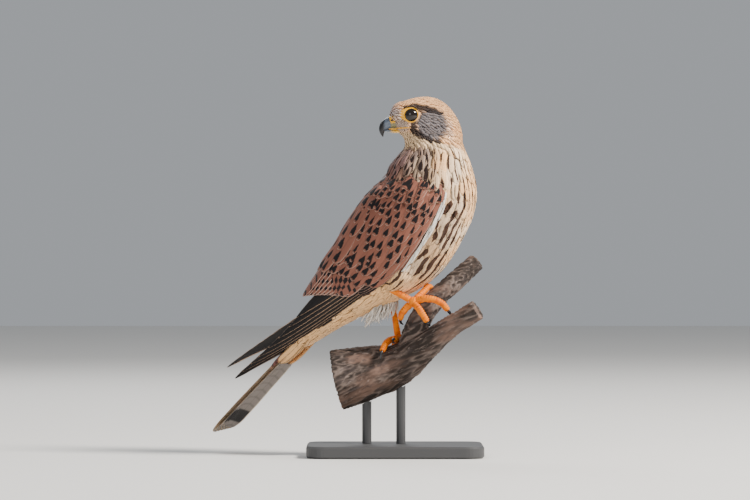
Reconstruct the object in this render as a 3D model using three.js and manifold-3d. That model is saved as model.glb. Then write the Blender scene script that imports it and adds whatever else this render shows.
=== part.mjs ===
// Common kestrel, a hen or a young bird, life size, looking back over its right shoulder from the
// fork of a cut branch, which a plain base and two short rods hold up.
// Millimetres, +Z up. The origin is the centre of the base's underside. The bird faces +X and is
// turned towards -Y. Places on the bird are given in its own directions: forward, right and up.
import * as THREE from "three";
import { mergeVertices } from "three/addons/utils/BufferGeometryUtils.js";
import Module from "manifold-3d";

const wasm = await Module();
wasm.setup();

// Driving dimensions
const GAP = 0.3;
const DEGREE = Math.PI / 180;
const BODY_YAW = -22 * DEGREE;
const HEAD_YAW = 190 * DEGREE;
const HEAD_CENTRE = new THREE.Vector3(27.5, -9, 285);
const WELD = 1e-4;
const FAR = 400;

const BASE_LENGTH = 150;
const BASE_DEPTH = 108;
const BASE_HEIGHT = 10;
const BASE_CORNER = 14;
const BASE_BEVEL = 1.5;
const ROD_RADIUS = 4;
const ROD_PLACES = [[-24, 9], [5, 4]];

// Sections of the body from under the head to the root of the tail. Each is an oval in a plane that
// holds the bird's right-hand direction: forward and up of its centre, half its depth from back to
// breast, half its breadth, and how many degrees its breast side dips.
const BODY_SECTIONS = [
  [33, 274, 26, 19, 0],
  [36, 263, 26.5, 20.5, 0],
  [34, 250, 33, 26, 2],
  [34, 232, 39.5, 29.5, 9],
  [25, 213, 45.5, 31.5, 13],
  [13.5, 195, 47.5, 32, 15],
  [1, 174, 46, 31, 18],
  [-13.5, 157, 40, 28.5, 21],
  [-31, 143, 31.5, 24.5, 25],
  [-47, 131, 24, 20.5, 28],
  [-62, 120, 18, 17, 32],
  [-76, 107, 12, 14, 38],
  [-88, 95, 7, 12, 45],
];
const NECK_END = 3;
const BODY_FULLNESS = 2.2;
const BODY_SIDES = 24;

// The shape that the folded wings lie on, from the shoulder to the wing tips, in the same terms.
const WING_SECTIONS = [
  [37, 240, 30, 28, 6],
  [30, 224, 40, 31.5, 11],
  [19, 206, 44, 33, 14],
  [6, 186, 44.5, 33, 16],
  [-9, 166, 42, 31, 19],
  [-26, 151, 36, 27, 23],
  [-43, 138, 28.5, 22, 27],
  [-60, 125, 21.5, 17.5, 31],
  [-80, 110, 14.5, 14, 36],
  [-104, 93.5, 9, 10.5, 42],
  [-128, 78, 5.5, 8, 44],
  [-147, 65, 3, 6, 45],
];
// The far wing lies a little higher and further back: what each of its sections adds.
const FAR_WING_SHIFT = [
  [0, 0], [0, 0], [0, 0], [0, 0], [0, 0], [-1, 1], [-2, 2], [-3, 4], [-5, 6], [-9, 8], [-12, 9], [-14, 9],
];

// Sections of the head along its own forward direction: forward, its crown and its underside above
// the head's centre, and half its breadth.
const HEAD_SECTIONS = [
  [31, 5.5, -7, 6.5],
  [28.5, 11, -9.5, 9.5],
  [24, 15.5, -13, 13],
  [17, 18.8, -18, 16],
  [8, 20.8, -22, 18.3],
  [-1, 21.4, -24, 19.4],
  [-10, 19, -25, 19.2],
  [-18, 13.4, -26, 17.5],
  [-25, 4.5, -26, 14],
  [-30, -7, -25, 8.5],
];
const HEAD_SIDES = 18;
const HEAD_CUT = { up: -20.5, dip: -6 * DEGREE };

const EYE_RADIUS = 6.2;
const EYE_PLACE = { forward: 16, side: 11.2, up: 5 };
const EYE_RING_RADIUS = 5.9;
const EYE_RING_THICKNESS = 0.9;

const UPPER_BILL = [
  [31.3, -1.2, 6.0, 6.2, 0],
  [34.6, -2.2, 5.0, 5.3, 16],
  [37.4, -4.7, 3.9, 4.1, 42],
  [38.9, -8.2, 2.5, 2.7, 72],
  [38.8, -11.6, 1.4, 1.5, 96],
  [38.0, -14.2, 0.35, 0.4, 108],
];
const CERE_END = 0.75;
const LOWER_BILL = [
  [27.2, -9.6, 2.1, 5.0, -4],
  [31.5, -9.8, 2.0, 4.4, 0],
  [35.2, -9.7, 1.5, 2.9, 4],
  [37.0, -9.4, 0.7, 1.2, 8],
];
const BILL_SIDES = 12;
const NOSTRIL = { forward: 33.2, side: 4.6, up: 0.6, radius: 0.9 };
const MOUTH = { from: 16.5, to: 33, up: -7.3, height: 0.5, reach: 12 };

const material = (name, color, roughness) => new THREE.MeshStandardMaterial({ name, color, roughness });
const MATERIALS = {
  buff: material("buff feather", 0xd9b183, 0.9),
  rufous: material("rufous feather", 0xb0704e, 0.85),
  flight: material("dark flight feather", 0x2e2622, 0.8),
  tail: material("tail feather", 0x9c7458, 0.8),
  horn: material("bill horn", 0x3a3d45, 0.35),
  cere: material("yellow skin", 0xe0a92c, 0.5),
  eye: material("eye", 0x140c08, 0.05),
  foot: material("orange yellow skin", 0xe08a18, 0.55),
  claw: material("claw", 0x17151a, 0.3),
  bark: material("bark", 0x8a8086, 0.95),
  stand: material("stand", 0x3b3a38, 0.5),
};

// Directions of the bird's body and head
const turned = (yaw) => ({
  forward: new THREE.Vector3(Math.cos(yaw), Math.sin(yaw), 0),
  right: new THREE.Vector3(Math.sin(yaw), -Math.cos(yaw), 0),
});
const BODY = turned(BODY_YAW);
const HEAD = turned(HEAD_YAW);
const UP = new THREE.Vector3(0, 0, 1);

function place(axes, origin, forward, right, up) {
  return origin.clone().addScaledVector(axes.forward, forward).addScaledVector(axes.right, right)
    .addScaledVector(UP, up);
}
const ORIGIN = new THREE.Vector3();
const onBody = (forward, right, up) => place(BODY, ORIGIN, forward, right, up);
const onHead = (forward, right, up) => place(HEAD, HEAD_CENTRE, forward, right, up);

// A row of numbers at a place between the rows of a table, on a smooth curve through them
function between(rows, at) {
  const last = rows.length - 1;
  const first = Math.min(Math.max(Math.floor(at), 0), last - 1);
  const s = at - first;
  const row = (k) => rows[Math.min(Math.max(k, 0), last)];
  return rows[0].map((_, column) => {
    const [p0, p1, p2, p3] = [-1, 0, 1, 2].map((k) => row(first + k)[column]);
    const slopes = [(p2 - p0) / 2, (p3 - p1) / 2];
    const cubic = 2 * p1 - 2 * p2 + slopes[0] + slopes[1];
    const square = -3 * p1 + 3 * p2 - 2 * slopes[0] - slopes[1];
    return p1 + s * (slopes[0] + s * (square + s * cubic));
  });
}

const blend = (a, b, s) => a + (b - a) * s;
const steps = (count) => Array.from({ length: count + 1 }, (_, i) => i / count);
const rounded = (value, fullness) => Math.sign(value) * Math.abs(value) ** (2 / fullness);

// Closed meshes as solids, and back
function geometryOf(points, faces) {
  const geometry = new THREE.BufferGeometry();
  const values = points.flatMap((p) => [p.x, p.y, p.z]);
  geometry.setAttribute("position", new THREE.Float32BufferAttribute(values, 3));
  geometry.setIndex(faces.flat());
  return geometry;
}

function signedVolume(points, faces) {
  const cross = new THREE.Vector3();
  const share = ([a, b, c]) => points[a].dot(cross.crossVectors(points[b], points[c]));
  return faces.reduce((sum, face) => sum + share(face), 0) / 6;
}

function solidOf(geometry) {
  const bare = new THREE.BufferGeometry();
  bare.setAttribute("position", geometry.getAttribute("position").clone());
  if (geometry.index) bare.setIndex(geometry.index.clone());
  const merged = mergeVertices(bare, WELD);
  return new wasm.Manifold(new wasm.Mesh({
    numProp: 3,
    vertProperties: new Float32Array(merged.getAttribute("position").array),
    triVerts: new Uint32Array(merged.index.array),
  }));
}

function meshSolid(points, faces) {
  const outward = signedVolume(points, faces) > 0 ? faces : faces.map(([a, b, c]) => [a, c, b]);
  return solidOf(geometryOf(points, outward));
}

const joined = (solids) => solids.reduce((sum, solid) => sum.add(solid));
const without = (solid, cutters) => cutters.reduce((rest, cutter) => rest.subtract(cutter), solid);
const larger = (first, second) => (second.volume() > first.volume() ? second : first);
const largest = (solid) => solid.decompose().reduce((best, piece) => larger(best, piece));

// A solid through rings of equal count, with flat ends
function loft(rings) {
  const count = rings[0].length;
  const points = rings.flat();
  const faces = [];
  for (let ring = 0; ring + 1 < rings.length; ring += 1) {
    for (let k = 0; k < count; k += 1) {
      const [a, b] = [ring * count + k, ring * count + (k + 1) % count];
      faces.push([a, b, b + count], [a, b + count, a + count]);
    }
  }
  const lastRing = (rings.length - 1) * count;
  for (let k = 1; k + 1 < count; k += 1) {
    faces.push([0, k + 1, k], [lastRing, lastRing + k, lastRing + k + 1]);
  }
  return meshSolid(points, faces);
}

// A block that fills everything on one side of a plane
function halfSpace(point, normal) {
  const geometry = new THREE.BoxGeometry(FAR, FAR, FAR);
  geometry.translate(0, 0, FAR / 2);
  geometry.applyQuaternion(new THREE.Quaternion().setFromUnitVectors(UP, normal.clone().normalize()));
  geometry.translate(point.x, point.y, point.z);
  return solidOf(geometry);
}

// One point of an oval section: angle 0 is the back, 90 degrees the bird's right side
function sectionPoint(row, angle, fullness, side) {
  const [forward, up, depth, breadth, dip] = row;
  const along = -depth * rounded(Math.cos(angle), fullness);
  const across = breadth * rounded(Math.sin(angle), fullness) * side;
  return onBody(forward + along * Math.cos(dip * DEGREE), across, up - along * Math.sin(dip * DEGREE));
}

function bodyRing(at, grow) {
  const row = between(BODY_SECTIONS, at);
  row[2] += grow;
  row[3] += grow;
  return Array.from({ length: BODY_SIDES }, (_, k) => (
    sectionPoint(row, (2 * Math.PI * k) / BODY_SIDES, BODY_FULLNESS, 1)));
}

function bodyLoft(from, to, count, grow = 0) {
  return loft(steps(count).map((s) => bodyRing(blend(from, to, s), grow)));
}

// The wing's ground: a point at a station and angle, lifted off along the outward normal
function wingGround(sections, side) {
  const point = (at, angle) => sectionPoint(between(sections, at), angle, 2, side);
  const normalAt = (at, angle) => {
    const small = 0.01;
    const alongAngle = point(at, angle + small).sub(point(at, angle - small));
    const alongWing = point(at + small, angle).sub(point(at - small, angle));
    return alongWing.cross(alongAngle).multiplyScalar(side).normalize();
  };
  return {
    normalAt,
    lifted: (at, angle, lift) => point(at, angle).addScaledVector(normalAt(at, angle), lift),
  };
}

// A curved slab on the wing's ground between two stations and two angles
function slab(ground, { at, angle, lift, thick, rows, columns }) {
  const points = [];
  const underside = (station) => {
    if (lift !== undefined) return lift;
    const s = THREE.MathUtils.smoothstep(station, ARM_UNDERSIDE.from, ARM_UNDERSIDE.to);
    return blend(ARM_UNDERSIDE.shoulder, ARM_UNDERSIDE.over, s);
  };
  for (const layer of [0, 1]) {
    for (const u of steps(rows)) {
      for (const v of steps(columns)) {
        const station = blend(at[0], at[1], u);
        const round = Math.sqrt(Math.max(Math.sin(Math.PI * blend(0.04, 0.96, v)), 0));
        const full = (lift ?? ARM_UNDERSIDE.over) + thick * blend(0.35, 1, round) * blend(1, 0.45, u * u);
        const rise = THREE.MathUtils.smoothstep(station, SHOULDER_RISE.from, SHOULDER_RISE.to);
        const top = lift === undefined ? blend(SHOULDER_RISE.height, full, rise) : full;
        const height = layer ? top : underside(station);
        const turn = blend(blend(angle[0][0], angle[1][0], u), blend(angle[0][1], angle[1][1], u), v);
        points.push(ground.lifted(station, turn * DEGREE, height));
      }
    }
  }
  const width = columns + 1;
  const under = (rows + 1) * width;
  const faces = [];
  const quad = (a, b, c, d) => faces.push([a, b, c], [a, c, d]);
  for (let i = 0; i < rows; i += 1) {
    for (let j = 0; j < columns; j += 1) {
      const a = i * width + j;
      quad(a, a + 1, a + 1 + width, a + width);
      faces.push([a + under, a + 1 + width + under, a + 1 + under]);
      faces.push([a + under, a + width + under, a + 1 + width + under]);
    }
  }
  for (let j = 0; j < columns; j += 1) {
    const end = rows * width + j;
    quad(j, j + under, j + 1 + under, j + 1);
    quad(end, end + 1, end + 1 + under, end + under);
  }
  for (let i = 0; i < rows; i += 1) {
    const left = i * width;
    const right = left + columns;
    quad(left, left + width, left + width + under, left + under);
    quad(right, right + under, right + width + under, right + width);
  }
  return meshSolid(points, faces);
}

// A feather's vane: a thin plate through points that each have a normal, broad in the middle.
// Both faces are split into triangles alike.
const BROAD_TIP = [[0, 0.6], [0.35, 0.9], [0.75, 1], [0.94, 0.7], [1, 0.15]];
const POINTED_TIP = [[0, 0.6], [0.25, 0.9], [0.5, 1], [0.75, 0.8], [0.92, 0.45], [1, 0.08]];

function vane(pointAt, normalAt, halfWidth, thickness, profile) {
  const small = 0.02;
  const points = profile.flatMap(([s, share]) => {
    const middle = pointAt(s);
    const normal = normalAt(s);
    const along = pointAt(Math.min(s + small, 1)).sub(pointAt(Math.max(s - small, 0))).normalize();
    const across = new THREE.Vector3().crossVectors(normal, along).normalize();
    const half = halfWidth * share;
    const corner = (side, face) => middle.clone().addScaledVector(across, side * half)
      .addScaledVector(normal, (face * thickness) / 2);
    return [corner(-1, 1), corner(1, 1), corner(1, -1), corner(-1, -1)];
  });
  const faces = [[0, 1, 2], [0, 2, 3]];
  for (let ring = 0; ring + 1 < profile.length; ring += 1) {
    const [a, b, c, d] = [0, 1, 2, 3].map((k) => ring * 4 + k);
    faces.push([a, a + 4, b + 4], [a, b + 4, b], [b, b + 4, c + 4], [b, c + 4, c]);
    faces.push([d, c + 4, d + 4], [d, c, c + 4], [d, d + 4, a + 4], [d, a + 4, a]);
  }
  const end = (profile.length - 1) * 4;
  faces.push([end, end + 2, end + 1], [end, end + 3, end + 2]);
  return meshSolid(points, faces);
}

function wingVane(ground, from, to, halfWidth, thickness, profile) {
  const mix = (s) => from.map((value, k) => blend(value, to[k], s));
  const pointAt = (s) => {
    const [at, angle, lift] = mix(s);
    return ground.lifted(at, angle * DEGREE, lift);
  };
  const normalAt = (s) => {
    const [at, angle] = mix(s);
    return ground.normalAt(at, angle * DEGREE);
  };
  return vane(pointAt, normalAt, halfWidth, thickness, profile);
}

const nodes = [];
function addNode(name, solid, look) {
  const kept = largest(solid);
  const { vertProperties, triVerts, numProp } = kept.getMesh();
  const geometry = new THREE.BufferGeometry();
  const position = new Float32Array((vertProperties.length / numProp) * 3);
  for (let k = 0; k * numProp < vertProperties.length; k += 1) {
    position.set(vertProperties.subarray(k * numProp, k * numProp + 3), k * 3);
  }
  geometry.setAttribute("position", new THREE.BufferAttribute(position, 3));
  geometry.setIndex(new THREE.BufferAttribute(new Uint32Array(triVerts), 1));
  geometry.computeVertexNormals();
  const mesh = new THREE.Mesh(geometry, look);
  mesh.name = name;
  nodes.push(mesh);
}

// A tapering round limb, toe or claw through points, each with a radius
function limb(rows, count, sides, grow = 0) {
  const centre = (s) => new THREE.Vector3(...between(rows, s * (rows.length - 1)));
  const small = 0.01;
  let across = null;
  const rings = steps(count).map((s) => {
    const along = centre(Math.min(s + small, 1)).sub(centre(Math.max(s - small, 0))).normalize();
    const start = across ?? (Math.abs(along.y) < 0.8 ? new THREE.Vector3(0, 1, 0) : UP);
    across = start.clone().addScaledVector(along, -start.dot(along)).normalize();
    const other = new THREE.Vector3().crossVectors(along, across);
    const radius = between(rows, s * (rows.length - 1))[3] + grow;
    const middle = centre(s);
    return Array.from({ length: sides }, (_, k) => {
      const angle = (2 * Math.PI * k) / sides;
      return middle.clone().addScaledVector(across, radius * Math.cos(angle))
        .addScaledVector(other, radius * Math.sin(angle));
    });
  });
  return loft(rings);
}

// Perch: the main limb, which thins into the branch that comes forward, and the broken stub behind
const LIMB = [
  [-50, 14, 64, 27],
  [-20, 11, 71, 23.5],
  [2.5, 5, 77, 18.8],
  [25, -13, 93, 13],
  [44, -23, 108.5, 10],
  [70, -33, 125, 9],
];
const STUB = [
  [12, 0, 88, 12],
  [17.5, -5, 108, 10.8],
  [25, -9, 122, 10],
  [40, -5, 139, 9.3],
  [70, 8, 165, 8.6],
];
const LIMB_SIDES = 14;
const limbSolid = (grow) => limb(LIMB, 12, LIMB_SIDES, grow);
const stubSolid = (grow) => limb(STUB, 8, 12, grow);
const perch = limbSolid(0).add(stubSolid(0));
const perchRoom = limbSolid(GAP).add(stubSolid(GAP));
addNode("perch", perch, MATERIALS.bark);

// Torso
const torso = bodyLoft(NECK_END, BODY_SECTIONS.length - 1, 15);
const bodyRoom = bodyLoft(0, NECK_END, 6, GAP).add(bodyLoft(NECK_END, BODY_SECTIONS.length - 1, 15, GAP));

// Head and neck, modelled whole and parted by a thin cut
function headLoft() {
  return loft(steps(11).map((s) => {
    const [forward, crown, under, breadth] = between(HEAD_SECTIONS, s * (HEAD_SECTIONS.length - 1));
    return Array.from({ length: HEAD_SIDES }, (_, k) => {
      const angle = (2 * Math.PI * k) / HEAD_SIDES;
      const half = (crown - under) / 2;
      return onHead(forward, breadth * rounded(Math.sin(angle), 2.2),
        (crown + under) / 2 + half * rounded(Math.cos(angle), 2.2));
    });
  }));
}
const neckLoft = bodyLoft(0, NECK_END - 0.02, 6);
const headAndNeck = headLoft().add(neckLoft);
const cutNormal = new THREE.Vector3(Math.sin(HEAD_CUT.dip), 0, Math.cos(HEAD_CUT.dip));
const cutPoint = HEAD_CENTRE.clone().addScaledVector(UP, HEAD_CUT.up);
const aboveCut = halfSpace(cutPoint, cutNormal);
const belowCut = halfSpace(cutPoint.clone().addScaledVector(cutNormal, -GAP), cutNormal.clone().negate());

// Eyes in their sockets, each with a raised ring of lids
const SIDES = { left: -1, right: 1 };
function eyeball(side, grow) {
  const ball = new THREE.IcosahedronGeometry(EYE_RADIUS + grow, 2);
  const centre = onHead(EYE_PLACE.forward, EYE_PLACE.side * side, EYE_PLACE.up);
  ball.translate(centre.x, centre.y, centre.z);
  return solidOf(ball);
}
function eyeRing(side) {
  const ring = new THREE.TorusGeometry(EYE_RING_RADIUS, EYE_RING_THICKNESS, 5, 14);
  const outward = HEAD.right.clone().multiplyScalar(side).addScaledVector(HEAD.forward, 0.25).normalize();
  ring.applyQuaternion(new THREE.Quaternion().setFromUnitVectors(UP, outward));
  const place = onHead(EYE_PLACE.forward, EYE_PLACE.side * side, EYE_PLACE.up);
  const centre = place.addScaledVector(outward, 4.2);
  ring.translate(centre.x, centre.y, centre.z);
  return solidOf(ring);
}

function billLoft(rows, count, grow = 0, from = 0, to = 1) {
  return loft(steps(count).map((s) => {
    const [forward, up, half, breadth, dip] = between(rows, blend(from, to, s) * (rows.length - 1));
    return Array.from({ length: BILL_SIDES }, (_, k) => {
      const angle = (2 * Math.PI * k) / BILL_SIDES;
      const rise = (half + grow) * Math.cos(angle);
      return onHead(forward + rise * Math.sin(dip * DEGREE), (breadth + grow) * Math.sin(angle),
        up + rise * Math.cos(dip * DEGREE));
    });
  }));
}

const cereShare = CERE_END / (UPPER_BILL.length - 1);
const cere = billLoft(UPPER_BILL, 4, 0.25, -0.3 / (UPPER_BILL.length - 1), cereShare);
const upperBill = billLoft(UPPER_BILL, 9, 0, cereShare + 0.02, 1);
const lowerBill = billLoft(LOWER_BILL, 4);
const upperRoom = billLoft(UPPER_BILL, 9, GAP);
const cereRoomStart = -0.3 / (UPPER_BILL.length - 1) - 0.02;
const cereRoom = billLoft(UPPER_BILL, 4, 0.25 + GAP, cereRoomStart, cereShare + 0.02);
const lowerRoom = billLoft(LOWER_BILL, 4, GAP, -0.05, 1);

function nostril(side) {
  const pit = new THREE.IcosahedronGeometry(NOSTRIL.radius, 1);
  const centre = onHead(NOSTRIL.forward, NOSTRIL.side * side, NOSTRIL.up);
  pit.translate(centre.x, centre.y, centre.z);
  return solidOf(pit);
}
function mouthLine() {
  const slot = new THREE.BoxGeometry(MOUTH.to - MOUTH.from, 2 * MOUTH.reach, MOUTH.height);
  slot.rotateZ(HEAD_YAW);
  const centre = onHead((MOUTH.from + MOUTH.to) / 2, 0, MOUTH.up);
  slot.translate(centre.x, centre.y, centre.z);
  const core = new THREE.SphereGeometry(1, 16, 10);
  core.scale(16, 9.5, 9);
  core.rotateZ(HEAD_YAW);
  const middle = onHead(16, 0, MOUTH.up);
  core.translate(middle.x, middle.y, middle.z);
  return solidOf(slot).subtract(solidOf(core));
}

const face = without(headAndNeck.intersect(aboveCut).add(eyeRing(1)).add(eyeRing(-1)),
  [eyeball(1, GAP), eyeball(-1, GAP), upperRoom, cereRoom, lowerRoom, mouthLine()]);
addNode("head", face, MATERIALS.buff);
addNode("neck", headAndNeck.intersect(belowCut), MATERIALS.buff);
addNode("cere", without(cere, [nostril(1), nostril(-1), lowerRoom]), MATERIALS.cere);
addNode("bill_upper", without(upperBill, [lowerRoom]), MATERIALS.horn);
addNode("bill_lower", lowerBill, MATERIALS.horn);
for (const [name, side] of Object.entries(SIDES)) {
  addNode(`eye_${name}`, eyeball(side, 0), MATERIALS.eye);
}

// Tail: five pairs of feathers, the middle pair uppermost, on a root that meets the rump
const TAIL_ROOT = [-86.5, 96.5];
const TAIL_TIP = [-167.5, 16.5];
const TAIL_ROLL = 4 * DEGREE;
const TAIL_PAIRS = 5;
const TAIL_HALF_WIDTH = 9.5;
const TAIL_THICKNESS = 1;
const TAIL_SPREAD = { root: 1.1, tip: 2.1 };
const TAIL_STEP_DOWN = 0.85;
const TAIL_SHORTER = 2.2;

const tailStart = onBody(TAIL_ROOT[0], 0, TAIL_ROOT[1]);
const tailAlong = onBody(TAIL_TIP[0], 0, TAIL_TIP[1]).sub(tailStart);
const tailLength = tailAlong.length();
tailAlong.normalize();
const tailAcross = BODY.right.clone().applyAxisAngle(tailAlong, TAIL_ROLL);
const tailUp = new THREE.Vector3().crossVectors(tailAcross, tailAlong).normalize();
if (tailUp.z < 0) tailUp.negate();
const onTail = (along, across, up) => tailStart.clone().addScaledVector(tailAlong, along)
  .addScaledVector(tailAcross, across).addScaledVector(tailUp, up);

function tailFeather(pair, side) {
  const length = tailLength - pair * TAIL_SHORTER - (side > 0 ? 0.6 : 0);
  const down = -(2 * pair + (side > 0 ? 0 : 1)) * (TAIL_STEP_DOWN / 2) + 2;
  const lean = side * pair * 3.5 * DEGREE;
  const normal = tailUp.clone().applyAxisAngle(tailAlong, lean);
  const pointAt = (s) => onTail(blend(1, length, s),
    side * blend(TAIL_SPREAD.root, TAIL_SPREAD.tip, s) * (pair + 0.5), down);
  return vane(pointAt, () => normal, TAIL_HALF_WIDTH, TAIL_THICKNESS, BROAD_TIP);
}
function tailBlock(grow) {
  const rows = [[0.4 - grow, 9.5, 4.5], [12, 10, 3.2], [34, 11, 2.2]];
  return loft(rows.map(([along, half, thick]) => Array.from({ length: 12 }, (_, k) => {
    const angle = (2 * Math.PI * k) / 12;
    return onTail(along, (half + grow) * Math.cos(angle), (thick + grow) * Math.sin(angle) - 0.6);
  })));
}
const tailFeathers = [];
for (let pair = 0; pair < TAIL_PAIRS; pair += 1) {
  for (const side of Object.values(SIDES)) tailFeathers.push(tailFeather(pair, side));
}
const tailCorners = [[1, 1], [-1, 1], [-1, -1], [1, -1]];
const tailRoom = loft([[-3, 17, 7], [90, 24, 6]].map(([along, half, thick]) => (
  tailCorners.map(([x, y]) => onTail(along, half * x, thick * y - 1)))));
const tail = without(joined([tailBlock(0), ...tailFeathers]), [bodyRoom]);
addNode("tail", tail, MATERIALS.tail);

// Legs. Every row is a point and a radius. The right foot holds the stub, the left one the limb.
const LEGS = {
  right: {
    thigh: [[12, -20, 168, 10], [5, -23, 155, 10.5], [-2, -21, 145.5, 7.5], [-3.6, -19, 141.5, 4.2]],
    tarsus: [[-3.2, -18.6, 141, 2.9], [3, -17.6, 138, 2.5], [12, -16.8, 133.2, 2.9]],
    pad: [15.6, -17, 131, 5],
    toes: {
      outer: { rows: [[16.5, -18.5, 130, 3], [20, -22.5, 125.5, 2.7], [23.6, -23.4, 120, 2.6],
        [27, -22.6, 114.6, 2.3]],
        bend: [0.3, 1, -0.3] },
      middle: { rows: [[18, -18, 132, 3], [25, -21.7, 134, 2.8], [33, -22.8, 133, 2.7],
        [40, -22.2, 129.5, 2.6],
        [44.6, -22, 124, 2.3]], bend: [-0.2, 1, -0.5] },
      inner: { rows: [[18, -15, 133.5, 3], [23, -10, 138.5, 2.7], [28, -4, 143.6, 2.6], [31, 3, 142.5, 2.3]],
        bend: [0.3, -0.2, -1] },
      hind: { rows: [[12.5, -16, 129, 3], [9, -16, 125.5, 2.9], [5.6, -14.5, 121, 2.7],
        [4.6, -11, 116.6, 2.3]],
        bend: [1, 0.5, -0.2] },
    },
  },
  left: {
    thigh: [[8, 20, 166, 10], [2, 19, 152, 10.5], [-2, 13, 140, 7.5], [-2.6, 10.6, 134.6, 4.2]],
    tarsus: [[-2.6, 10.6, 134.1, 2.9], [-0.5, 10.8, 120, 2.5], [2.4, 12, 102, 2.9]],
    pad: [3, 12, 99.5, 4.6],
    toes: {
      outer: { rows: [[2, 15, 98.6, 3], [0.5, 20.5, 96, 2.7], [-1, 25.2, 90, 2.6], [-1.5, 27.6, 83.5, 2.3]],
        bend: [0, -1, -0.4] },
      middle: { rows: [[5, 14, 98.6, 3], [9.5, 15.4, 96, 2.7], [14, 16.2, 91.5, 2.6], [17.5, 14.4, 86, 2.3]],
        bend: [0, -1, -0.4] },
      inner: { rows: [[3, 9, 99, 3], [1.2, 4, 99.8, 2.7], [-0.8, -0.6, 99.3, 2.3]], bend: [0.9, 0, -1] },
      hind: { rows: [[0.5, 10, 99, 3], [-4, 2, 98.4, 2.8], [-8, -5, 95.4, 2.7], [-11, -11.5, 89.4, 2.3]],
        bend: [0.2, 0.6, -1] },
    },
  },
};
const TOE_SIDES = 7;
const CLAW_SIDES = 6;
const CLAW_LENGTH = 8;
const CLAW_RADIUS = 1.75;

function padSolid([x, y, z, radius]) {
  const pad = new THREE.IcosahedronGeometry(radius, 1);
  pad.translate(x, y, z);
  return solidOf(pad);
}

function clawRows({ rows, bend }) {
  const end = new THREE.Vector3(...rows.at(-1));
  const along = end.clone().sub(new THREE.Vector3(...rows.at(-2))).normalize();
  const curl = new THREE.Vector3(...bend);
  curl.addScaledVector(along, -curl.dot(along)).normalize();
  const start = end.clone().addScaledVector(along, GAP);
  return [[0, 0, 1], [0.35, 0.06, 0.8], [0.65, 0.28, 0.5], [0.8, 0.6, 0.15]].map(([ahead, aside, share]) => {
    const point = start.clone().addScaledVector(along, ahead * CLAW_LENGTH);
    point.addScaledVector(curl, aside * CLAW_LENGTH);
    return [point.x, point.y, point.z, CLAW_RADIUS * share];
  });
}

let torsoCut = torso.subtract(perchRoom);
const thighRoom = [];
for (const [name, leg] of Object.entries(LEGS)) {
  const thighSolid = (grow) => limb(leg.thigh, 6, 12, grow);
  const footSolid = (grow) => joined([padSolid([...leg.pad.slice(0, 3), leg.pad[3] + grow]),
    ...Object.values(leg.toes).map(({ rows }) => limb(rows, 7, TOE_SIDES, grow))]);
  torsoCut = without(torsoCut, [footSolid(GAP), thighSolid(GAP)]);
  thighRoom.push(thighSolid(GAP));
  addNode(`thigh_${name}`, thighSolid(0).subtract(perchRoom), MATERIALS.buff);
  const tarsus = limb(leg.tarsus, 4, 8);
  addNode(`tarsus_${name}`, without(tarsus, [thighSolid(GAP), footSolid(GAP), bodyRoom]), MATERIALS.foot);
  addNode(`foot_${name}`, without(footSolid(0), [perchRoom]), MATERIALS.foot);
  for (const [toe, shape] of Object.entries(leg.toes)) {
    const claw = without(limb(clawRows(shape), 4, CLAW_SIDES), [perchRoom]);
    addNode(`claw_${name}_${toe}`, claw, MATERIALS.claw);
  }
}

addNode("torso", torsoCut, MATERIALS.buff);

// Wings, each in three nodes laid over one another: the primaries next to the body, then the
// secondaries, then the arm with its coverts. Each flight feather: station and angle of its root,
// station and angle of its tip, and half its width.
const PRIMARIES = [
  [4.2, 124, 9.6, 128, 6],
  [4.0, 120, 11.0, 110, 7],
  [3.9, 115, 10.5, 96, 7.5],
  [3.8, 110, 9.9, 86, 8],
  [3.7, 105, 9.3, 76, 8],
  [3.6, 100, 8.6, 68, 8],
  [3.5, 95, 7.9, 60, 8],
];
const SECONDARIES = [
  [3.0, 98, 6.3, 96, 8],
  [2.9, 88, 6.5, 84, 8],
  [2.8, 78, 6.7, 72, 8],
  [2.7, 67, 6.9, 60, 8],
  [2.6, 56, 7.1, 46, 8],
  [2.5, 44, 7.3, 32, 8],
];
const GREATER_COVERTS = { count: 6, from: 2.2, to: 4.9, slant: 0.5, angles: [48, 108], halfWidth: 7.5 };
const SHOULDER_FEATHERS = { count: 3, from: 2.4, to: 5.6, slant: -0.4, angles: [16, 42], halfWidth: 8.5 };
const PRIMARY_LIFT = { root: [0.5, 0.2], tip: [0.6, 0.42] };
const SECONDARY_LIFT = { root: [2.6, 0.1], tip: [4.0, 0.25] };
const COVERT_LIFT = 6.6;
const VANE_THICKNESS = 0.9;
const COVERT_THICKNESS = 1.1;
const HAND = { at: [3.2, 5.2], angle: [[84, 130], [84, 130]], lift: -1, thick: 3.2, rows: 3, columns: 4 };
const SECONDARY_ROOT = {
  at: [2.3, 3.8], angle: [[36, 104], [36, 104]], lift: 2.6, thick: 1.8, rows: 2, columns: 4,
};
const ARM = { at: [0.1, 4.4], angle: [[26, 128], [34, 112]], thick: 3, rows: 6, columns: 5 };
const SHOULDER_RISE = { height: 1, from: -0.5, to: 1.7 };
const ARM_UNDERSIDE = { shoulder: -2.5, over: 5.2, from: 1.7, to: 2.3 };

function flightVanes(ground, feathers, lift, profile, grow) {
  return feathers.map(([a, turnA, b, turnB, half], k) => wingVane(ground,
    [a, turnA, lift.root[0] + k * lift.root[1]], [b + grow * 0.1, turnB, lift.tip[0] + k * lift.tip[1]],
    half + grow, VANE_THICKNESS + 2 * grow, profile));
}

function tier(ground, { count, from, to, slant, angles, halfWidth }, lift) {
  return Array.from({ length: count }, (_, k) => {
    const s = k / (count - 1);
    const angle = blend(angles[0], angles[1], s);
    const height = lift + 0.15 * (k % 2);
    return wingVane(ground, [from, angle, height - 1.2], [to - slant * s, angle, height], halfWidth,
      COVERT_THICKNESS, BROAD_TIP);
  });
}

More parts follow.
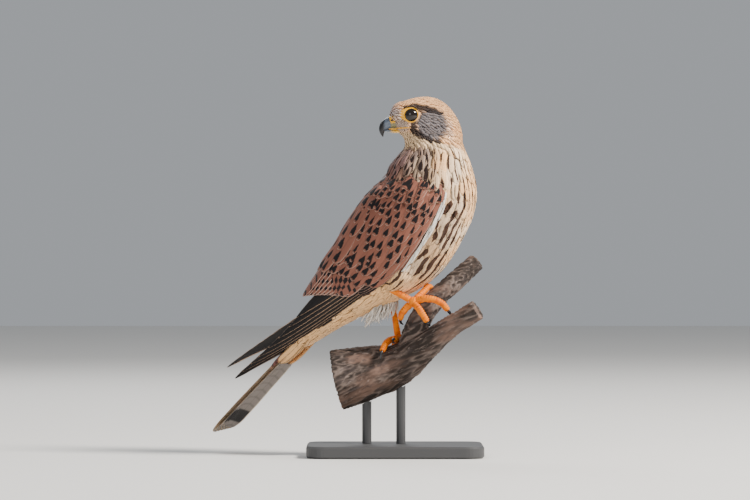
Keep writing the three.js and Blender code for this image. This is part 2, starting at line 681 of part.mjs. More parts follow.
function wing(name, side, sections) {
  const ground = wingGround(sections, side);
  const inward = BODY.right.clone().multiplyScalar(-side);
  const midline = halfSpace(BODY.right.clone().multiplyScalar(side * GAP), inward);
  const room = [bodyRoom, tailRoom, midline, ...thighRoom];
  const primaries = (grow) => joined([
    slab(ground, { ...HAND, lift: HAND.lift - grow, thick: HAND.thick + 2 * grow }),
    ...flightVanes(ground, PRIMARIES, PRIMARY_LIFT, POINTED_TIP, grow),
  ]);
  const { lift: rootLift, thick: rootThick } = SECONDARY_ROOT;
  const secondaries = (grow) => joined([
    slab(ground, { ...SECONDARY_ROOT, lift: rootLift - grow, thick: rootThick + 2 * grow }),
    ...flightVanes(ground, SECONDARIES, SECONDARY_LIFT, BROAD_TIP, grow),
  ]);
  const arm = joined([
    slab(ground, ARM),
    ...tier(ground, GREATER_COVERTS, COVERT_LIFT),
    ...tier(ground, SHOULDER_FEATHERS, COVERT_LIFT + 0.3),
  ]);
  const primaryRoom = primaries(GAP);
  addNode(`wing_${name}_primaries`, without(primaries(0), room), MATERIALS.flight);
  addNode(`wing_${name}_secondaries`, without(secondaries(0), [...room, primaryRoom]), MATERIALS.rufous);
  addNode(`wing_${name}_arm`, without(arm, [...room, primaryRoom, secondaries(GAP)]), MATERIALS.rufous);
}
wing("right", SIDES.right, WING_SECTIONS);
const farSections = WING_SECTIONS.map(([forward, up, ...rest], k) => [
  forward + FAR_WING_SHIFT[k][0], up + FAR_WING_SHIFT[k][1], ...rest,
]);
wing("left", SIDES.left, farSections);

// Stand: a flat base with round corners, and two rods up to the underside of the limb
function baseShape() {
  const [x, y] = [BASE_LENGTH / 2 - BASE_BEVEL, BASE_DEPTH / 2 - BASE_BEVEL];
  const shape = new THREE.Shape();
  shape.moveTo(-x + BASE_CORNER, -y);
  shape.lineTo(x - BASE_CORNER, -y);
  shape.absarc(x - BASE_CORNER, -y + BASE_CORNER, BASE_CORNER, -Math.PI / 2, 0);
  shape.lineTo(x, y - BASE_CORNER);
  shape.absarc(x - BASE_CORNER, y - BASE_CORNER, BASE_CORNER, 0, Math.PI / 2);
  shape.lineTo(-x + BASE_CORNER, y);
  shape.absarc(-x + BASE_CORNER, y - BASE_CORNER, BASE_CORNER, Math.PI / 2, Math.PI);
  shape.lineTo(-x, -y + BASE_CORNER);
  shape.absarc(-x + BASE_CORNER, -y + BASE_CORNER, BASE_CORNER, Math.PI, 1.5 * Math.PI);
  return shape;
}
const base = new THREE.ExtrudeGeometry(baseShape(), {
  depth: BASE_HEIGHT - 2 * BASE_BEVEL,
  bevelThickness: BASE_BEVEL,
  bevelSize: BASE_BEVEL,
  bevelSegments: 1,
  curveSegments: 4,
});
base.translate(0, 0, BASE_BEVEL);
addNode("stand_base", solidOf(base), MATERIALS.stand);

ROD_PLACES.forEach(([x, y], k) => {
  const reach = 70;
  const rod = new THREE.CylinderGeometry(ROD_RADIUS, ROD_RADIUS, reach, 16);
  rod.rotateX(Math.PI / 2);
  rod.translate(x, y, BASE_HEIGHT + GAP + reach / 2);
  addNode(`stand_rod_${k + 1}`, without(solidOf(rod), [perchRoom]), MATERIALS.stand);
});

const kestrel = new THREE.Group();
kestrel.add(...nodes);
export default kestrel;
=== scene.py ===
# Common kestrel, a hen or young bird, looking back over its right shoulder from a cut branch on a
# plain stand. Lengths in the tables are millimetres, as they are easier to read; MM turns them
# into metres. The bird's own directions are forward, right and up; it is turned by BODY_YAW.
import math

import bmesh
import bpy
import numpy as np
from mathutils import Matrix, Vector, noise
from mathutils.bvhtree import BVHTree


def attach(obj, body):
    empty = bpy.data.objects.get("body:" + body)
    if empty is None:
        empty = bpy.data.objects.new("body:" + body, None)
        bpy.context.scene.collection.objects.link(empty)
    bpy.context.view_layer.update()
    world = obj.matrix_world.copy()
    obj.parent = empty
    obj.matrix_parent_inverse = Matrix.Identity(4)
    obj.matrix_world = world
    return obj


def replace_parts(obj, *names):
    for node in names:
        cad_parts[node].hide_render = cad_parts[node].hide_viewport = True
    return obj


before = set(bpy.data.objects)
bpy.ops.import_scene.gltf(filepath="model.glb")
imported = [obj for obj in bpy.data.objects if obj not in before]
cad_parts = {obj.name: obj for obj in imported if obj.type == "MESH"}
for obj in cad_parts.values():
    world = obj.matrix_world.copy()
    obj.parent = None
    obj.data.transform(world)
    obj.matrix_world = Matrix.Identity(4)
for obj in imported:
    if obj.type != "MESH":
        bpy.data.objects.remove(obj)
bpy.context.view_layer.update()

MM = 0.001
DEGREE = math.pi / 180
ONE_TURN = 2 * math.pi
BODY_YAW = -22 * DEGREE
HEAD_YAW = 190 * DEGREE
HEAD_CENTRE = np.array([27.5, -9.0, 285.0])
RIGHT, LEFT = 1, -1
SIDES = ((RIGHT, "right"), (LEFT, "left"))
random = np.random.default_rng(7)

# Sections of the body from under the head to the tail's root: forward and up of the centre, half
# the depth from back to breast, half the breadth, and degrees that the breast side dips.
BODY_SECTIONS = np.array([
    [33, 274, 26, 19, 0], [36, 263, 26.5, 20.5, 0], [34, 250, 33, 26, 2], [34, 232, 39.5, 29.5, 9],
    [25, 213, 45.5, 31.5, 13], [13.5, 195, 47.5, 32, 15], [1, 174, 46, 31, 18],
    [-13.5, 157, 40, 28.5, 21], [-31, 143, 31.5, 24.5, 25], [-47, 131, 24, 20.5, 28],
    [-62, 120, 18, 17, 32], [-76, 107, 12, 14, 38], [-88, 95, 7, 12, 45],
])
# The ground that the folded wings lie on, from the shoulder to the wing tips, in the same terms.
WING_SECTIONS = np.array([
    [37, 240, 30, 28, 6], [30, 224, 40, 31.5, 11], [19, 206, 44, 33, 14], [6, 186, 44.5, 33, 16],
    [-9, 166, 42, 31, 19], [-26, 151, 36, 27, 23], [-43, 138, 28.5, 22, 27],
    [-60, 125, 21.5, 17.5, 31], [-80, 110, 14.5, 14, 36], [-104, 93.5, 9, 10.5, 42],
    [-128, 78, 5.5, 8, 44], [-147, 65, 3, 6, 45],
])
FAR_WING_SHIFT = np.array([
    [0, 0], [0, 0], [0, 0], [0, 0], [0, 0], [-1, 1], [-2, 2], [-3, 4], [-5, 6], [-9, 8], [-12, 9],
    [-14, 9],
])

UP = np.array([0.0, 0.0, 1.0])


def axes_of(yaw):
    forward = np.array([math.cos(yaw), math.sin(yaw), 0.0])
    right = np.array([math.sin(yaw), -math.cos(yaw), 0.0])
    return forward, right


BODY_FORWARD, BODY_RIGHT = axes_of(BODY_YAW)
HEAD_FORWARD, HEAD_RIGHT = axes_of(HEAD_YAW)


def unit(vectors):
    return vectors / np.maximum(np.linalg.norm(vectors, axis=-1, keepdims=True), 1e-9)


def on_body(forward, right, up):
    forward, right, up = np.broadcast_arrays(forward, right, up)
    return forward[..., None] * BODY_FORWARD + right[..., None] * BODY_RIGHT + up[..., None] * UP


def on_head(forward, right, up):
    forward, right, up = np.broadcast_arrays(forward, right, up)
    spot = forward[..., None] * HEAD_FORWARD + right[..., None] * HEAD_RIGHT + up[..., None] * UP
    return HEAD_CENTRE + spot


def head_place(points):
    away = points - HEAD_CENTRE
    return away @ HEAD_FORWARD, away @ HEAD_RIGHT, away[..., 2]


def between(rows, at):
    """Rows of a table at places between its rows, on a smooth curve through them."""
    at = np.asarray(at, float)
    last = len(rows) - 1
    first = np.clip(np.floor(at), 0, last - 1).astype(int)
    s = (at - first)[..., None]
    p0, p1, p2, p3 = (rows[np.clip(first + k, 0, last)] for k in (-1, 0, 1, 2))
    m1, m2 = (p2 - p0) / 2, (p3 - p1) / 2
    return p1 + s * (m1 + s * (-3 * p1 + 3 * p2 - 2 * m1 - m2 + s * (2 * p1 - 2 * p2 + m1 + m2)))


class Ground:
    """A surface of oval sections. Angle 0 is the back and 90 degrees the side."""

    def __init__(self, sections, side):
        self.sections = sections
        self.side = side

    def point(self, at, angle):
        row = between(self.sections, at)
        forward, up, depth, breadth, dip = np.moveaxis(row, -1, 0)
        along = -depth * np.cos(angle)
        across = breadth * np.sin(angle) * self.side
        dip = dip * DEGREE
        return on_body(forward + along * np.cos(dip), across, up - along * np.sin(dip))

    def normal(self, at, angle, step=0.02):
        turn = self.point(at, angle + step) - self.point(at, angle - step)
        run = self.point(at + step, angle) - self.point(at - step, angle)
        return unit(np.cross(run, turn)) * self.side


def smooth(low, high, value):
    s = np.clip((value - low) / (high - low), 0, 1)
    return s * s * (3 - 2 * s)


# Feathers. A batch of feathers is laid at once: each has a path of three points with normals.
def vane_template(rows, columns):
    """Faces of one closed vane: an upper sheet and a lower one that share their rim."""
    width = columns + 1
    upper = np.arange((rows + 1) * width).reshape(rows + 1, width)
    lower = upper.copy()
    inner = (rows + 1) * width + np.arange((rows - 1) * (columns - 1))
    lower[1:-1, 1:-1] = inner.reshape(rows - 1, columns - 1)
    faces = []
    for i in range(rows):
        for j in range(columns):
            faces.append([upper[i, j], upper[i, j + 1], upper[i + 1, j + 1], upper[i + 1, j]])
            faces.append([lower[i, j], lower[i + 1, j], lower[i + 1, j + 1], lower[i, j + 1]])
    return np.array(faces)


ROUND_TIP = [[0, 0.45], [0.15, 0.75], [0.4, 0.97], [0.65, 1], [0.82, 0.9], [0.93, 0.66], [1, 0.25]]
SOFT_TIP = [[0, 0.4], [0.3, 0.85], [0.6, 1], [0.8, 0.85], [0.92, 0.55], [1, 0.2]]
POINTED_TIP = [[0, 0.6], [0.2, 0.9], [0.45, 1], [0.65, 0.88], [0.82, 0.62], [0.94, 0.32], [1, 0.06]]
SQUARE_TIP = [[0, 0.5], [0.3, 0.85], [0.7, 1], [0.9, 0.95], [0.965, 0.72], [1, 0.3]]

# A feather's share of the square map: small ones get a tiny patch, large ones a cell of their own
BAKE_PATCH = 0.003
CELL_SHARE = 0.85
# Under 1, so that the rows of a vane lie closer towards its tip
ROW_POWER = 0.9
LANE_BATCHES = 24
COATS = {}


def circle(sides):
    """Angles once round, without the first again."""
    return np.linspace(0, ONE_TURN, sides, endpoint=False)


def linked(name, data):
    """A new object in the scene."""
    made = bpy.data.objects.new(name, data)
    bpy.context.collection.objects.link(made)
    return made


def store(mesh, name, values, domain="POINT"):
    """Keeps one number or one vector for each point or face of a mesh, for its material."""
    if np.ndim(values) == 2:
        layer = mesh.attributes.new(name, "FLOAT_VECTOR", domain)
        layer.data.foreach_set("vector", np.ravel(values))
    else:
        layer = mesh.attributes.new(name, "FLOAT", domain)
        layer.data.foreach_set("value", values)


class Feathers:
    """Collects feathers of one piece, then makes one mesh of them."""

    def __init__(self, name, slot, rows, columns, profile, thickness, map_cells=0):
        self.name, self.slot = name, slot
        self.rows, self.columns = rows, columns
        self.profile = np.array(profile, float)
        self.thickness = thickness
        self.faces = vane_template(rows, columns)
        self.map_cells, self.used = map_cells, 0
        self.patch = CELL_SHARE / map_cells if map_cells else BAKE_PATCH
        self.points, self.looks, self.places, self.aspects = [], [], [], []
        self.vane_uv = None
        self.lanes = None
        COATS[name] = self

    def steps(self):
        return np.linspace(0, 1, self.rows + 1) ** ROW_POWER

    def reserve(self, count):
        """The next free cells of this piece's own map."""
        k = self.used + np.arange(count)
        self.used += count
        return (np.stack([k % self.map_cells, k // self.map_cells], -1) + 0.5) / self.map_cells

    def add(self, path, normals, width, look, place, camber=0.06, ragged=0.0, cant=0.0):
        """path and normals hold three points each, or one for each row; look is ground, mark,
        pattern and edge, each one row or one row for each feather."""
        count = len(path)
        s = self.steps()
        w = np.linspace(-1, 1, self.columns + 1)
        share = np.interp(s, self.profile[:, 0], self.profile[:, 1])
        if path.shape[1] == 3:
            weights = np.stack([(1 - s) * (1 - 2 * s), 4 * s * (1 - s), s * (2 * s - 1)])
            slopes = np.stack([4 * s - 3, 4 - 8 * s, 4 * s - 1])
            middle = np.einsum("kr,nkc->nrc", weights, path)
            along = unit(np.einsum("kr,nkc->nrc", slopes, path))
            normal = unit(np.einsum("kr,nkc->nrc", weights, normals))
        else:
            middle, along, normal = path, unit(np.gradient(path, axis=1)), normals
        across = unit(np.cross(normal, along))
        normal = unit(np.cross(along, across))
        width = np.broadcast_to(width, count)
        cant = np.broadcast_to(cant, count)
        reach = width[:, None, None] / 2 * share[None, :, None] * w[None, None, :]
        drop = -camber * width[:, None, None] * (w ** 2)[None, None, :] * share[None, :, None]
        drop = drop + cant[:, None, None] * reach
        point = (middle[:, :, None] + across[:, :, None] * reach[..., None]
                 + normal[:, :, None] * drop[..., None])
        if np.any(ragged):
            length = np.linalg.norm(path[:, 2] - path[:, 0], axis=1)
            jag = random.normal(0, 1, (count, 1, self.columns + 1)) * length[:, None, None]
            jag = jag * np.broadcast_to(ragged, count)[:, None, None] * (s ** 4)[None, :, None]
            point = point + along[:, :, None] * jag[..., None]
        lower = point[:, 1:-1, 1:-1] - normal[:, 1:-1, None] * self.thickness
        grid = np.stack(np.meshgrid((w + 1) / 2, s), -1)
        self.vane_uv = np.concatenate([grid.reshape(-1, 2), grid[1:-1, 1:-1].reshape(-1, 2)])
        sheets = [sheet.reshape(count, -1, 3) for sheet in (point, lower)]
        self.points.append(np.concatenate(sheets, axis=1))
        self.looks.append([np.broadcast_to(np.asarray(value, float), (count, 3)) for value in look])
        self.places.append(np.asarray(place))
        length = np.linalg.norm(np.diff(middle, axis=1), axis=-1).sum(axis=1)
        self.aspects.append(2 * length / width)

    def build(self, material):
        points = np.concatenate(self.points)
        count, size = points.shape[:2]
        faces = (self.faces[None] + (np.arange(count) * size)[:, None, None]).reshape(-1, 4)
        mesh = bpy.data.meshes.new(self.name)
        mesh.vertices.add(count * size)
        mesh.vertices.foreach_set("co", (points * MM).ravel())
        mesh.loops.add(faces.size)
        mesh.loops.foreach_set("vertex_index", faces.ravel())
        mesh.polygons.add(len(faces))
        mesh.polygons.foreach_set("loop_start", np.arange(len(faces)) * 4)
        mesh.polygons.foreach_set("use_smooth", np.ones(len(faces), bool))
        vane_uv = np.tile(self.vane_uv, (count, 1))
        place = np.repeat(np.concatenate(self.places), size, axis=0)
        bake_uv = place + (vane_uv - 0.5) * self.patch
        for name, values in (("OFBake", bake_uv), ("vane", vane_uv)):
            layer = mesh.uv_layers.new(name=name)
            layer.data.foreach_set("uv", values[faces.ravel()].ravel())
        for k, name in enumerate(("ground", "mark", "pattern", "edge")):
            values = np.concatenate([look[k] for look in self.looks])
            store(mesh, name, np.repeat(values, size, axis=0))
        store(mesh, "aspect", np.repeat(np.concatenate(self.aspects), size))
        if self.lanes:
            batches = np.array_split(points.reshape(-1, 3), LANE_BATCHES)
            store(mesh, "lane", np.concatenate([self.lanes(batch) for batch in batches]))
        store(mesh, "under", np.tile([0.0, 1.0], len(faces) // 2), "FACE")
        mesh.update()
        mesh.materials.append(material)
        piece = linked(self.name, mesh)
        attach(piece, "root")
        return piece


def laid(surface, steps, start, end, lift_from, lift_to):
    """Paths on a ground from (station, angle) to (station, angle) with a lift that goes with them."""
    s = steps[None, :]
    at = start[0][:, None] * (1 - s) + end[0][:, None] * s
    angle = start[1][:, None] * (1 - s) + end[1][:, None] * s
    lift = np.asarray(lift_from)[..., None] * (1 - s) + np.asarray(lift_to)[..., None] * s
    normal = surface.normal(at, angle)
    return surface.point(at, angle) + normal * lift[..., None], normal


# Shading. A mix node has sockets for each type of data; these are its share and its two colours.
MIX_SOCKETS, MIX_RESULT = (0, 6, 7), 2


class Shade:
    """A material and short ways to add the nodes that feed it."""

    def __init__(self, name, roughness, sheen=0.0, specular=0.5):
        self.material = bpy.data.materials.new(name)
        self.material.use_nodes = True
        self.tree = self.material.node_tree
        self.surface = self.tree.nodes["Principled BSDF"].inputs
        self.surface["Roughness"].default_value = roughness
        self.surface["Sheen Weight"].default_value = sheen
        self.surface["Sheen Roughness"].default_value = 0.6
        self.surface["Specular IOR Level"].default_value = specular

    def put(self, socket, value):
        if isinstance(value, bpy.types.NodeSocket):
            self.tree.links.new(value, socket)
        elif socket.type == "RGBA":
            socket.default_value = (*value, 1.0)
        else:
            socket.default_value = value

    def math(self, operation, *values):
        node = self.tree.nodes.new("ShaderNodeMath")
        node.operation = operation
        for socket, value in zip(node.inputs, values):
            self.put(socket, value)
        return node.outputs[0]

    def times(self, first, second):
        return self.math("MULTIPLY", first, second)

    def plus(self, first, second):
        return self.math("ADD", first, second)

    def minus(self, first, second):
        return self.math("SUBTRACT", first, second)

    def most(self, first, second):
        return self.math("MAXIMUM", first, second)

    def scaled(self, value, factor, offset):
        return self.math("MULTIPLY_ADD", value, factor, offset)

    def folded(self, value):
        """How far a value between 0 and 1 is from its middle: 0 there, and 1 at both ends."""
        return self.math("ABSOLUTE", self.scaled(value, 2.0, -1.0))

    def step(self, low, high, value):
        node = self.tree.nodes.new("ShaderNodeMapRange")
        node.interpolation_type = "SMOOTHSTEP"
        for key, number in (("Value", value), ("From Min", low), ("From Max", high)):
            self.put(node.inputs[key], number)
        return node.outputs["Result"]

    def mix(self, share, first, second):
        node = self.tree.nodes.new("ShaderNodeMix")
        node.data_type = "RGBA"
        for socket, value in zip(MIX_SOCKETS, (share, first, second)):
            self.put(node.inputs[socket], value)
        return node.outputs[MIX_RESULT]

    def paint(self, colour):
        self.put(self.surface["Base Color"], colour)

    def attribute(self, name, output="Vector"):
        node = self.tree.nodes.new("ShaderNodeAttribute")
        node.attribute_name = name
        return node.outputs[output]

    def place(self):
        return self.tree.nodes.new("ShaderNodeTexCoord").outputs["Object"]

    def split(self, vector):
        node = self.tree.nodes.new("ShaderNodeSeparateXYZ")
        self.put(node.inputs[0], vector)
        return node.outputs

    def noise(self, scale, detail=2.0, vector=None):
        node = self.tree.nodes.new("ShaderNodeTexNoise")
        node.inputs["Scale"].default_value = scale
        node.inputs["Detail"].default_value = detail
        self.put(node.inputs["Vector"], vector or self.place())
        return node.outputs["Fac"]

    def bump(self, height, strength, distance):
        node = self.tree.nodes.new("ShaderNodeBump")
        node.inputs["Strength"].default_value = strength
        node.inputs["Distance"].default_value = distance
        self.put(node.inputs["Height"], height)
        self.put(self.surface["Normal"], node.outputs["Normal"])


# Kinds of mark on a feather
STREAK, TRIANGLE, BARS = 0.0, 1.0, 2.0


def long_streaks(shade, rough):
    """Dashes down the lanes of the body, as wide as each lane's dark share says."""
    lane, along, strength = shade.split(shade.attribute("lane"))
    sway = shade.scaled(shade.noise(34.0, 1.0), 2.2, -1.1)
    lane = shade.plus(lane, sway)
    row = shade.tree.nodes.new("ShaderNodeCombineXYZ")
    shade.put(row.inputs[0], shade.times(shade.math("FLOOR", lane), 3.7))
    shade.put(row.inputs[1], shade.times(along, 1.55))
    dash = shade.step(0.38, 0.60, shade.noise(1.0, 1.0, row.outputs[0]))
    off = shade.plus(shade.folded(shade.math("FRACT", lane)), shade.times(rough, 0.7))
    run = shade.step(-0.07, 0.07, shade.minus(shade.times(dash, strength), off))
    return shade.times(run, shade.step(0.0, 0.02, strength))


def feather_marks(shade, size, kind, side, tip, period):
    """A streak down the middle, a dark triangle or bars, by the feather's kind of mark.

    Marks are placed by their distance from the feather's tip, in half widths of the feather."""
    drop = shade.times(shade.step(0.2, 0.9, tip), shade.step(4.2, 1.4, tip))
    streak = shade.step(-0.08, 0.08, shade.minus(shade.times(drop, size), side))
    notch = shade.scaled(shade.minus(size, side), -0.28, tip)
    taper = shade.times(size, shade.scaled(tip, -0.6, 1.2))
    wedge = shade.times(shade.step(0.18, 0.28, notch), shade.step(-0.07, 0.07, shade.minus(taper, side)))
    wave = shade.plus(shade.math("DIVIDE", tip, period), shade.times(side, 0.3))
    wave = shade.folded(shade.math("FRACT", wave))
    bars = shade.times(shade.step(-0.1, 0.1, shade.minus(size, wave)), shade.step(0.96, 0.84, side))
    is_wedge = shade.step(0.4, 0.6, kind)
    is_bars = shade.step(1.4, 1.6, kind)
    marked = shade.plus(shade.times(streak, shade.minus(1.0, is_wedge)),
                        shade.times(wedge, shade.minus(is_wedge, is_bars)))
    return shade.plus(marked, shade.times(bars, is_bars))


def plumage(name, slope, barbs=9.0, period=1.0, roughness=0.68, under_grey=0.0, band=None):
    """Feather vanes: a ground colour, marks, a fringe and fine barbs that slope to the tip.

    band is where a dark bar lies near the tip, in half widths of the feather."""
    shade = Shade(name, roughness, sheen=0.02, specular=0.2)
    uv = shade.tree.nodes.new("ShaderNodeUVMap")
    uv.uv_map = "vane"
    u, v, _ = shade.split(uv.outputs[0])
    across = shade.folded(u)
    tip = shade.times(shade.minus(1.0, v), shade.attribute("aspect", "Fac"))
    size, kind, fringe = shade.split(shade.attribute("pattern"))
    rough = shade.scaled(shade.noise(800.0), 0.36, -0.18)
    side = shade.plus(across, rough)
    marked = shade.most(feather_marks(shade, size, kind, side, tip, period), long_streaks(shade, rough))
    under = shade.attribute("under", "Fac")
    marked = shade.times(marked, shade.scaled(under, -0.75, 1.0))
    ground = shade.mix(shade.times(under, under_grey), shade.attribute("ground"), TAIL_GREY)
    if band:
        near, far = band
        dark = shade.times(shade.step(near - 0.15, near + 0.1, tip), shade.step(far + 0.15, far - 0.1, tip))
        marked = shade.most(marked, shade.times(dark, 0.95))
    rim = shade.plus(shade.most(across, shade.minus(1.0, tip)), shade.times(rough, 0.3))
    rim = shade.step(-0.04, 0.05, shade.minus(rim, shade.minus(1.0, fringe)))
    rim = shade.times(rim, shade.step(0.0, 0.01, fringe))
    colour = shade.mix(marked, ground, shade.attribute("mark"))
    colour = shade.mix(rim, colour, shade.attribute("edge"))
    line = shade.plus(shade.times(across, barbs), shade.times(v, -slope))
    line = shade.plus(line, shade.times(rough, 3.0))
    line = shade.scaled(shade.math("SINE", shade.times(line, ONE_TURN)), 0.5, 0.5)
    shaft = shade.step(0.07, 0.02, across)
    tone = shade.times(shade.scaled(line, 0.12, 0.92), shade.scaled(shaft, -0.22, 1.0))
    dimmed = shade.tree.nodes.new("ShaderNodeVectorMath")
    dimmed.operation = "SCALE"
    shade.put(dimmed.inputs[0], colour)
    shade.put(dimmed.inputs["Scale"], tone)
    shade.paint(dimmed.outputs[0])
    shade.bump(line, 0.35, 0.0002)
    return shade.material


def plain(name, colour, roughness, coat=0.0, specular=0.5):
    """A material of one colour, which may have a clear gloss over it."""
    shade = Shade(name, roughness, specular=specular)
    shade.paint(colour)
    shade.surface["Coat Weight"].default_value = coat
    shade.surface["Coat Roughness"].default_value = 0.08
    return shade


# Colours, as linear red, green and blue
RUFOUS = np.array([0.25, 0.094, 0.062])
RUFOUS_EDGE = np.array([0.42, 0.255, 0.20])
SPOT = np.array([0.007, 0.005, 0.006])
CREAM = np.array([0.90, 0.63, 0.38])
BUFF = np.array([0.86, 0.50, 0.24])
BELLY = np.array([0.87, 0.51, 0.23])
STREAK_BROWN = np.array([0.055, 0.024, 0.013])
FLIGHT = np.array([0.010, 0.008, 0.008])
FLIGHT_EDGE = np.array([0.46, 0.30, 0.20])
CROWN = np.array([0.97, 0.53, 0.25])
CHEEK = np.array([0.145, 0.128, 0.133])
LORES = np.array([0.52, 0.42, 0.36])
FOREHEAD = np.array([0.50, 0.42, 0.42])
PALE_CHEEK = np.array([0.80, 0.58, 0.45])
MOUSTACHE = np.array([0.014, 0.009, 0.010])
THROAT = np.array([0.74, 0.52, 0.31])
NECK_SIDE = np.array([0.14, 0.10, 0.10])
# A duller, darker buff for the flank side: painted shade
FLANK_SHADE = np.array([0.44, 0.30, 0.19])
WHITE = np.array([0.90, 0.84, 0.76])
TAIL_GREY = (0.28, 0.245, 0.22)

# Lines on the head, in its own forward and up: the stripe below the eye, the one behind it and the
# upper edge of the pale throat
MOUSTACHE_LINE = np.array([[14.5, -2.5], [15.0, -8.5], [9, -13.6], [1.5, -18], [-6.5, -20.3]])
MOUSTACHE_HALF = np.array([2.7, 2.6, 2.6, 2.2, 1.3])
EYE_LINE = np.array([[21, 9.2], [14, 10.9], [6.5, 9.5], [-1, 7.6], [-8.5, 5.4]])
EYE_LINE_HALF = np.array([1.5, 3.2, 3.5, 2.9, 1.6])
THROAT_TOP = np.array([
    [-20, -22.5], [-6.5, -20.6], [1.5, -18.4], [9, -14.4], [15, -10.5], [20, -9.3], [34, -8.6],
])


def near_line(x, y, line, half):
    """How deep inside a tapering line each place is: over 0 inside, in the line's own half widths."""
    best = np.full(np.shape(x), -9.0)
    for a, b, wide_a, wide_b in zip(line[:-1], line[1:], half[:-1], half[1:]):
        run = b - a
        s = np.clip(((x - a[0]) * run[0] + (y - a[1]) * run[1]) / (run @ run), 0, 1)
        away = np.hypot(x - a[0] - s * run[0], y - a[1] - s * run[1])
        best = np.maximum(best, 1 - away / (wide_a + s * (wide_b - wide_a)))
    return best


def blend(first, second, share):
    share = np.asarray(share)[..., None]
    return first * (1 - share) + second * share


class BodyPlaces:
    """Station and angle of places on the body."""

    def __init__(self):
        self.at = np.linspace(0, len(BODY_SECTIONS) - 1, 97)
        forward, up, self.depth, self.breadth, dip = np.moveaxis(between(BODY_SECTIONS, self.at), -1, 0)
        self.dip = dip * DEGREE
        self.centre = on_body(forward, 0.0, up)
        self.axis = unit(np.gradient(self.centre, axis=0))

    def find(self, points):
        away = points[:, None] - self.centre[None]
        cos, sin = np.cos(self.dip), np.sin(self.dip)
        out = cos[:, None] * BODY_FORWARD - sin[:, None] * UP
        normal = sin[:, None] * BODY_FORWARD + cos[:, None] * UP
        off = np.abs(np.einsum("nkc,kc->nk", away, normal)) + 0.15 * np.linalg.norm(away, axis=-1)
        k = np.argmin(off, axis=1)
        n = np.arange(len(points))
        along = np.einsum("nc,nc->n", away[n, k], out[k]) / self.depth[k]
        across = away[n, k] @ BODY_RIGHT / self.breadth[k]
        return self.at[k], np.arctan2(across, -along), self.axis[k]


BODY_PLACES = BodyPlaces()
# Degrees that the neck's coat turns with the head, and degrees round the body from lane to lane
NECK_TWIST = 148.0
LANE_TURN = 10.5


def head_look(points):
    """Ground, mark, pattern and edge of the head's feathers."""
    forward, side, up = head_place(points)
    count = len(points)
    aside = np.abs(side)
    nape = smooth(6, -12, forward)
    pale = smooth(5, 1, np.hypot((forward + 15) / 1.2, (up + 9) / 2.6))
    cheek = smooth(1.2, 0.8, np.hypot((forward + 0.8) / 13.0, (up + 4.6) / 13.6)) * smooth(4, 9, aside)
    throat = smooth(0.5, -1.5, up - np.interp(forward, *THROAT_TOP.T)) * smooth(-22, -10, forward)
    lores = smooth(16, 21, forward) * smooth(11, 5, up) * (1 - throat)
    forehead = smooth(23, 28, forward) * smooth(2, 5, up)
    dark = smooth(-0.1, 0.35, near_line(forward, up, MOUSTACHE_LINE, MOUSTACHE_HALF)) * smooth(4, 8, aside)
    behind = smooth(-0.2, 0.4, near_line(forward, up, EYE_LINE, EYE_LINE_HALF)) * smooth(4, 8, aside)
    ground = np.tile(CROWN, (count, 1))
    for colour, share in ((PALE_CHEEK, 0.8 * pale), (CHEEK, cheek), (THROAT, throat), (LORES, 0.9 * lores),
                          (FOREHEAD, 0.75 * forehead), (MOUSTACHE, 0.97 * np.maximum(dark, behind))):
        ground = blend(ground, colour, share)
    size = (0.13 + 0.13 * nape) * (1 - throat) * (1 - 0.4 * cheek) * (1 - dark) * (1 - behind)
    pattern = np.stack([size, np.zeros(count), np.zeros(count)], -1)
    mark = blend(np.tile(CROWN * 0.28, (count, 1)), STREAK_BROWN, 0.5 * nape + 0.3 * cheek)
    return ground, mark, pattern, ground


def turned_place(points):
    """Station on the body and degrees round from the back, with the neck's twist in them."""
    at, angle, _ = BODY_PLACES.find(points)
    turn = np.degrees(angle) + NECK_TWIST * (1 - smooth(-1.0, 0.9, at))
    return at, np.abs((turn + 180) % 360 - 180)


def body_look(points):
    """Ground, mark, pattern and edge of the body's feathers."""
    at, turn = turned_place(points)
    count = len(points)
    back = smooth(78, 58, turn) * smooth(1.0, 2.2, at)
    breast = smooth(98, 120, turn)
    lower = smooth(6.0, 7.4, at)
    neck = smooth(4.0, 2.2, at)
    patch = np.array([noise.noise(Vector(point * 0.055)) for point in points])
    ground = blend(np.tile(CREAM, (count, 1)), BUFF, smooth(-0.25, 0.35, patch))
    # Paler patches on the breast: partly its own paler feathers, partly painted highlight
    ground = blend(ground, WHITE, 0.25 * smooth(0.1, -0.5, patch) * breast)
    ground = blend(ground, NECK_SIDE, (1 - breast) * neck * (0.95 - 0.3 * random.random(count)))
    ground = blend(ground, BELLY, 0.85 * lower)
    # The flank side is blended towards a duller, darker buff: painted shade
    flank_shade = smooth(74, 86, turn) * smooth(180, 142, turn) * smooth(2.6, 4.2, at)
    ground = blend(ground, FLANK_SHADE, 0.65 * flank_shade * (1 - lower))
    mantle = blend(np.tile(RUFOUS, (count, 1)), NECK_SIDE * 1.2, 0.65 * smooth(3.6, 2.0, at))
    ground = blend(ground, mantle, back)
    kind = np.where(back > 0.5, TRIANGLE, STREAK)
    dashes = random.uniform(0.35, 0.7, count) * (1 - breast) * neck
    bold = random.uniform(0.6, 0.9, count) * (random.random(count) < 0.85)
    size = np.where(kind == TRIANGLE, bold, dashes)
    mark = blend(np.tile(STREAK_BROWN, (count, 1)), SPOT, np.maximum(back, 0.7 * neck * (1 - breast)))
    fringe = np.where(kind == TRIANGLE, 0.1, 0.0)
    edge = blend(ground, RUFOUS_EDGE, 0.6 * back)
    return ground, mark, np.stack([size, kind, fringe], -1), edge


def lanes_of(points):
    """Lanes of the long streaks at each place: which lane, how far along it, and its dark share."""
    at, turn = turned_place(points)
    breast = smooth(176, 146, turn)
    share = smooth(74, 90, turn) * smooth(7.8, 6.6, at) * (0.27 + 0.33 * breast * smooth(2.2, 4.0, at))
    return np.stack([turn / LANE_TURN, at, share * smooth(0.2, 1.2, at)], -1)


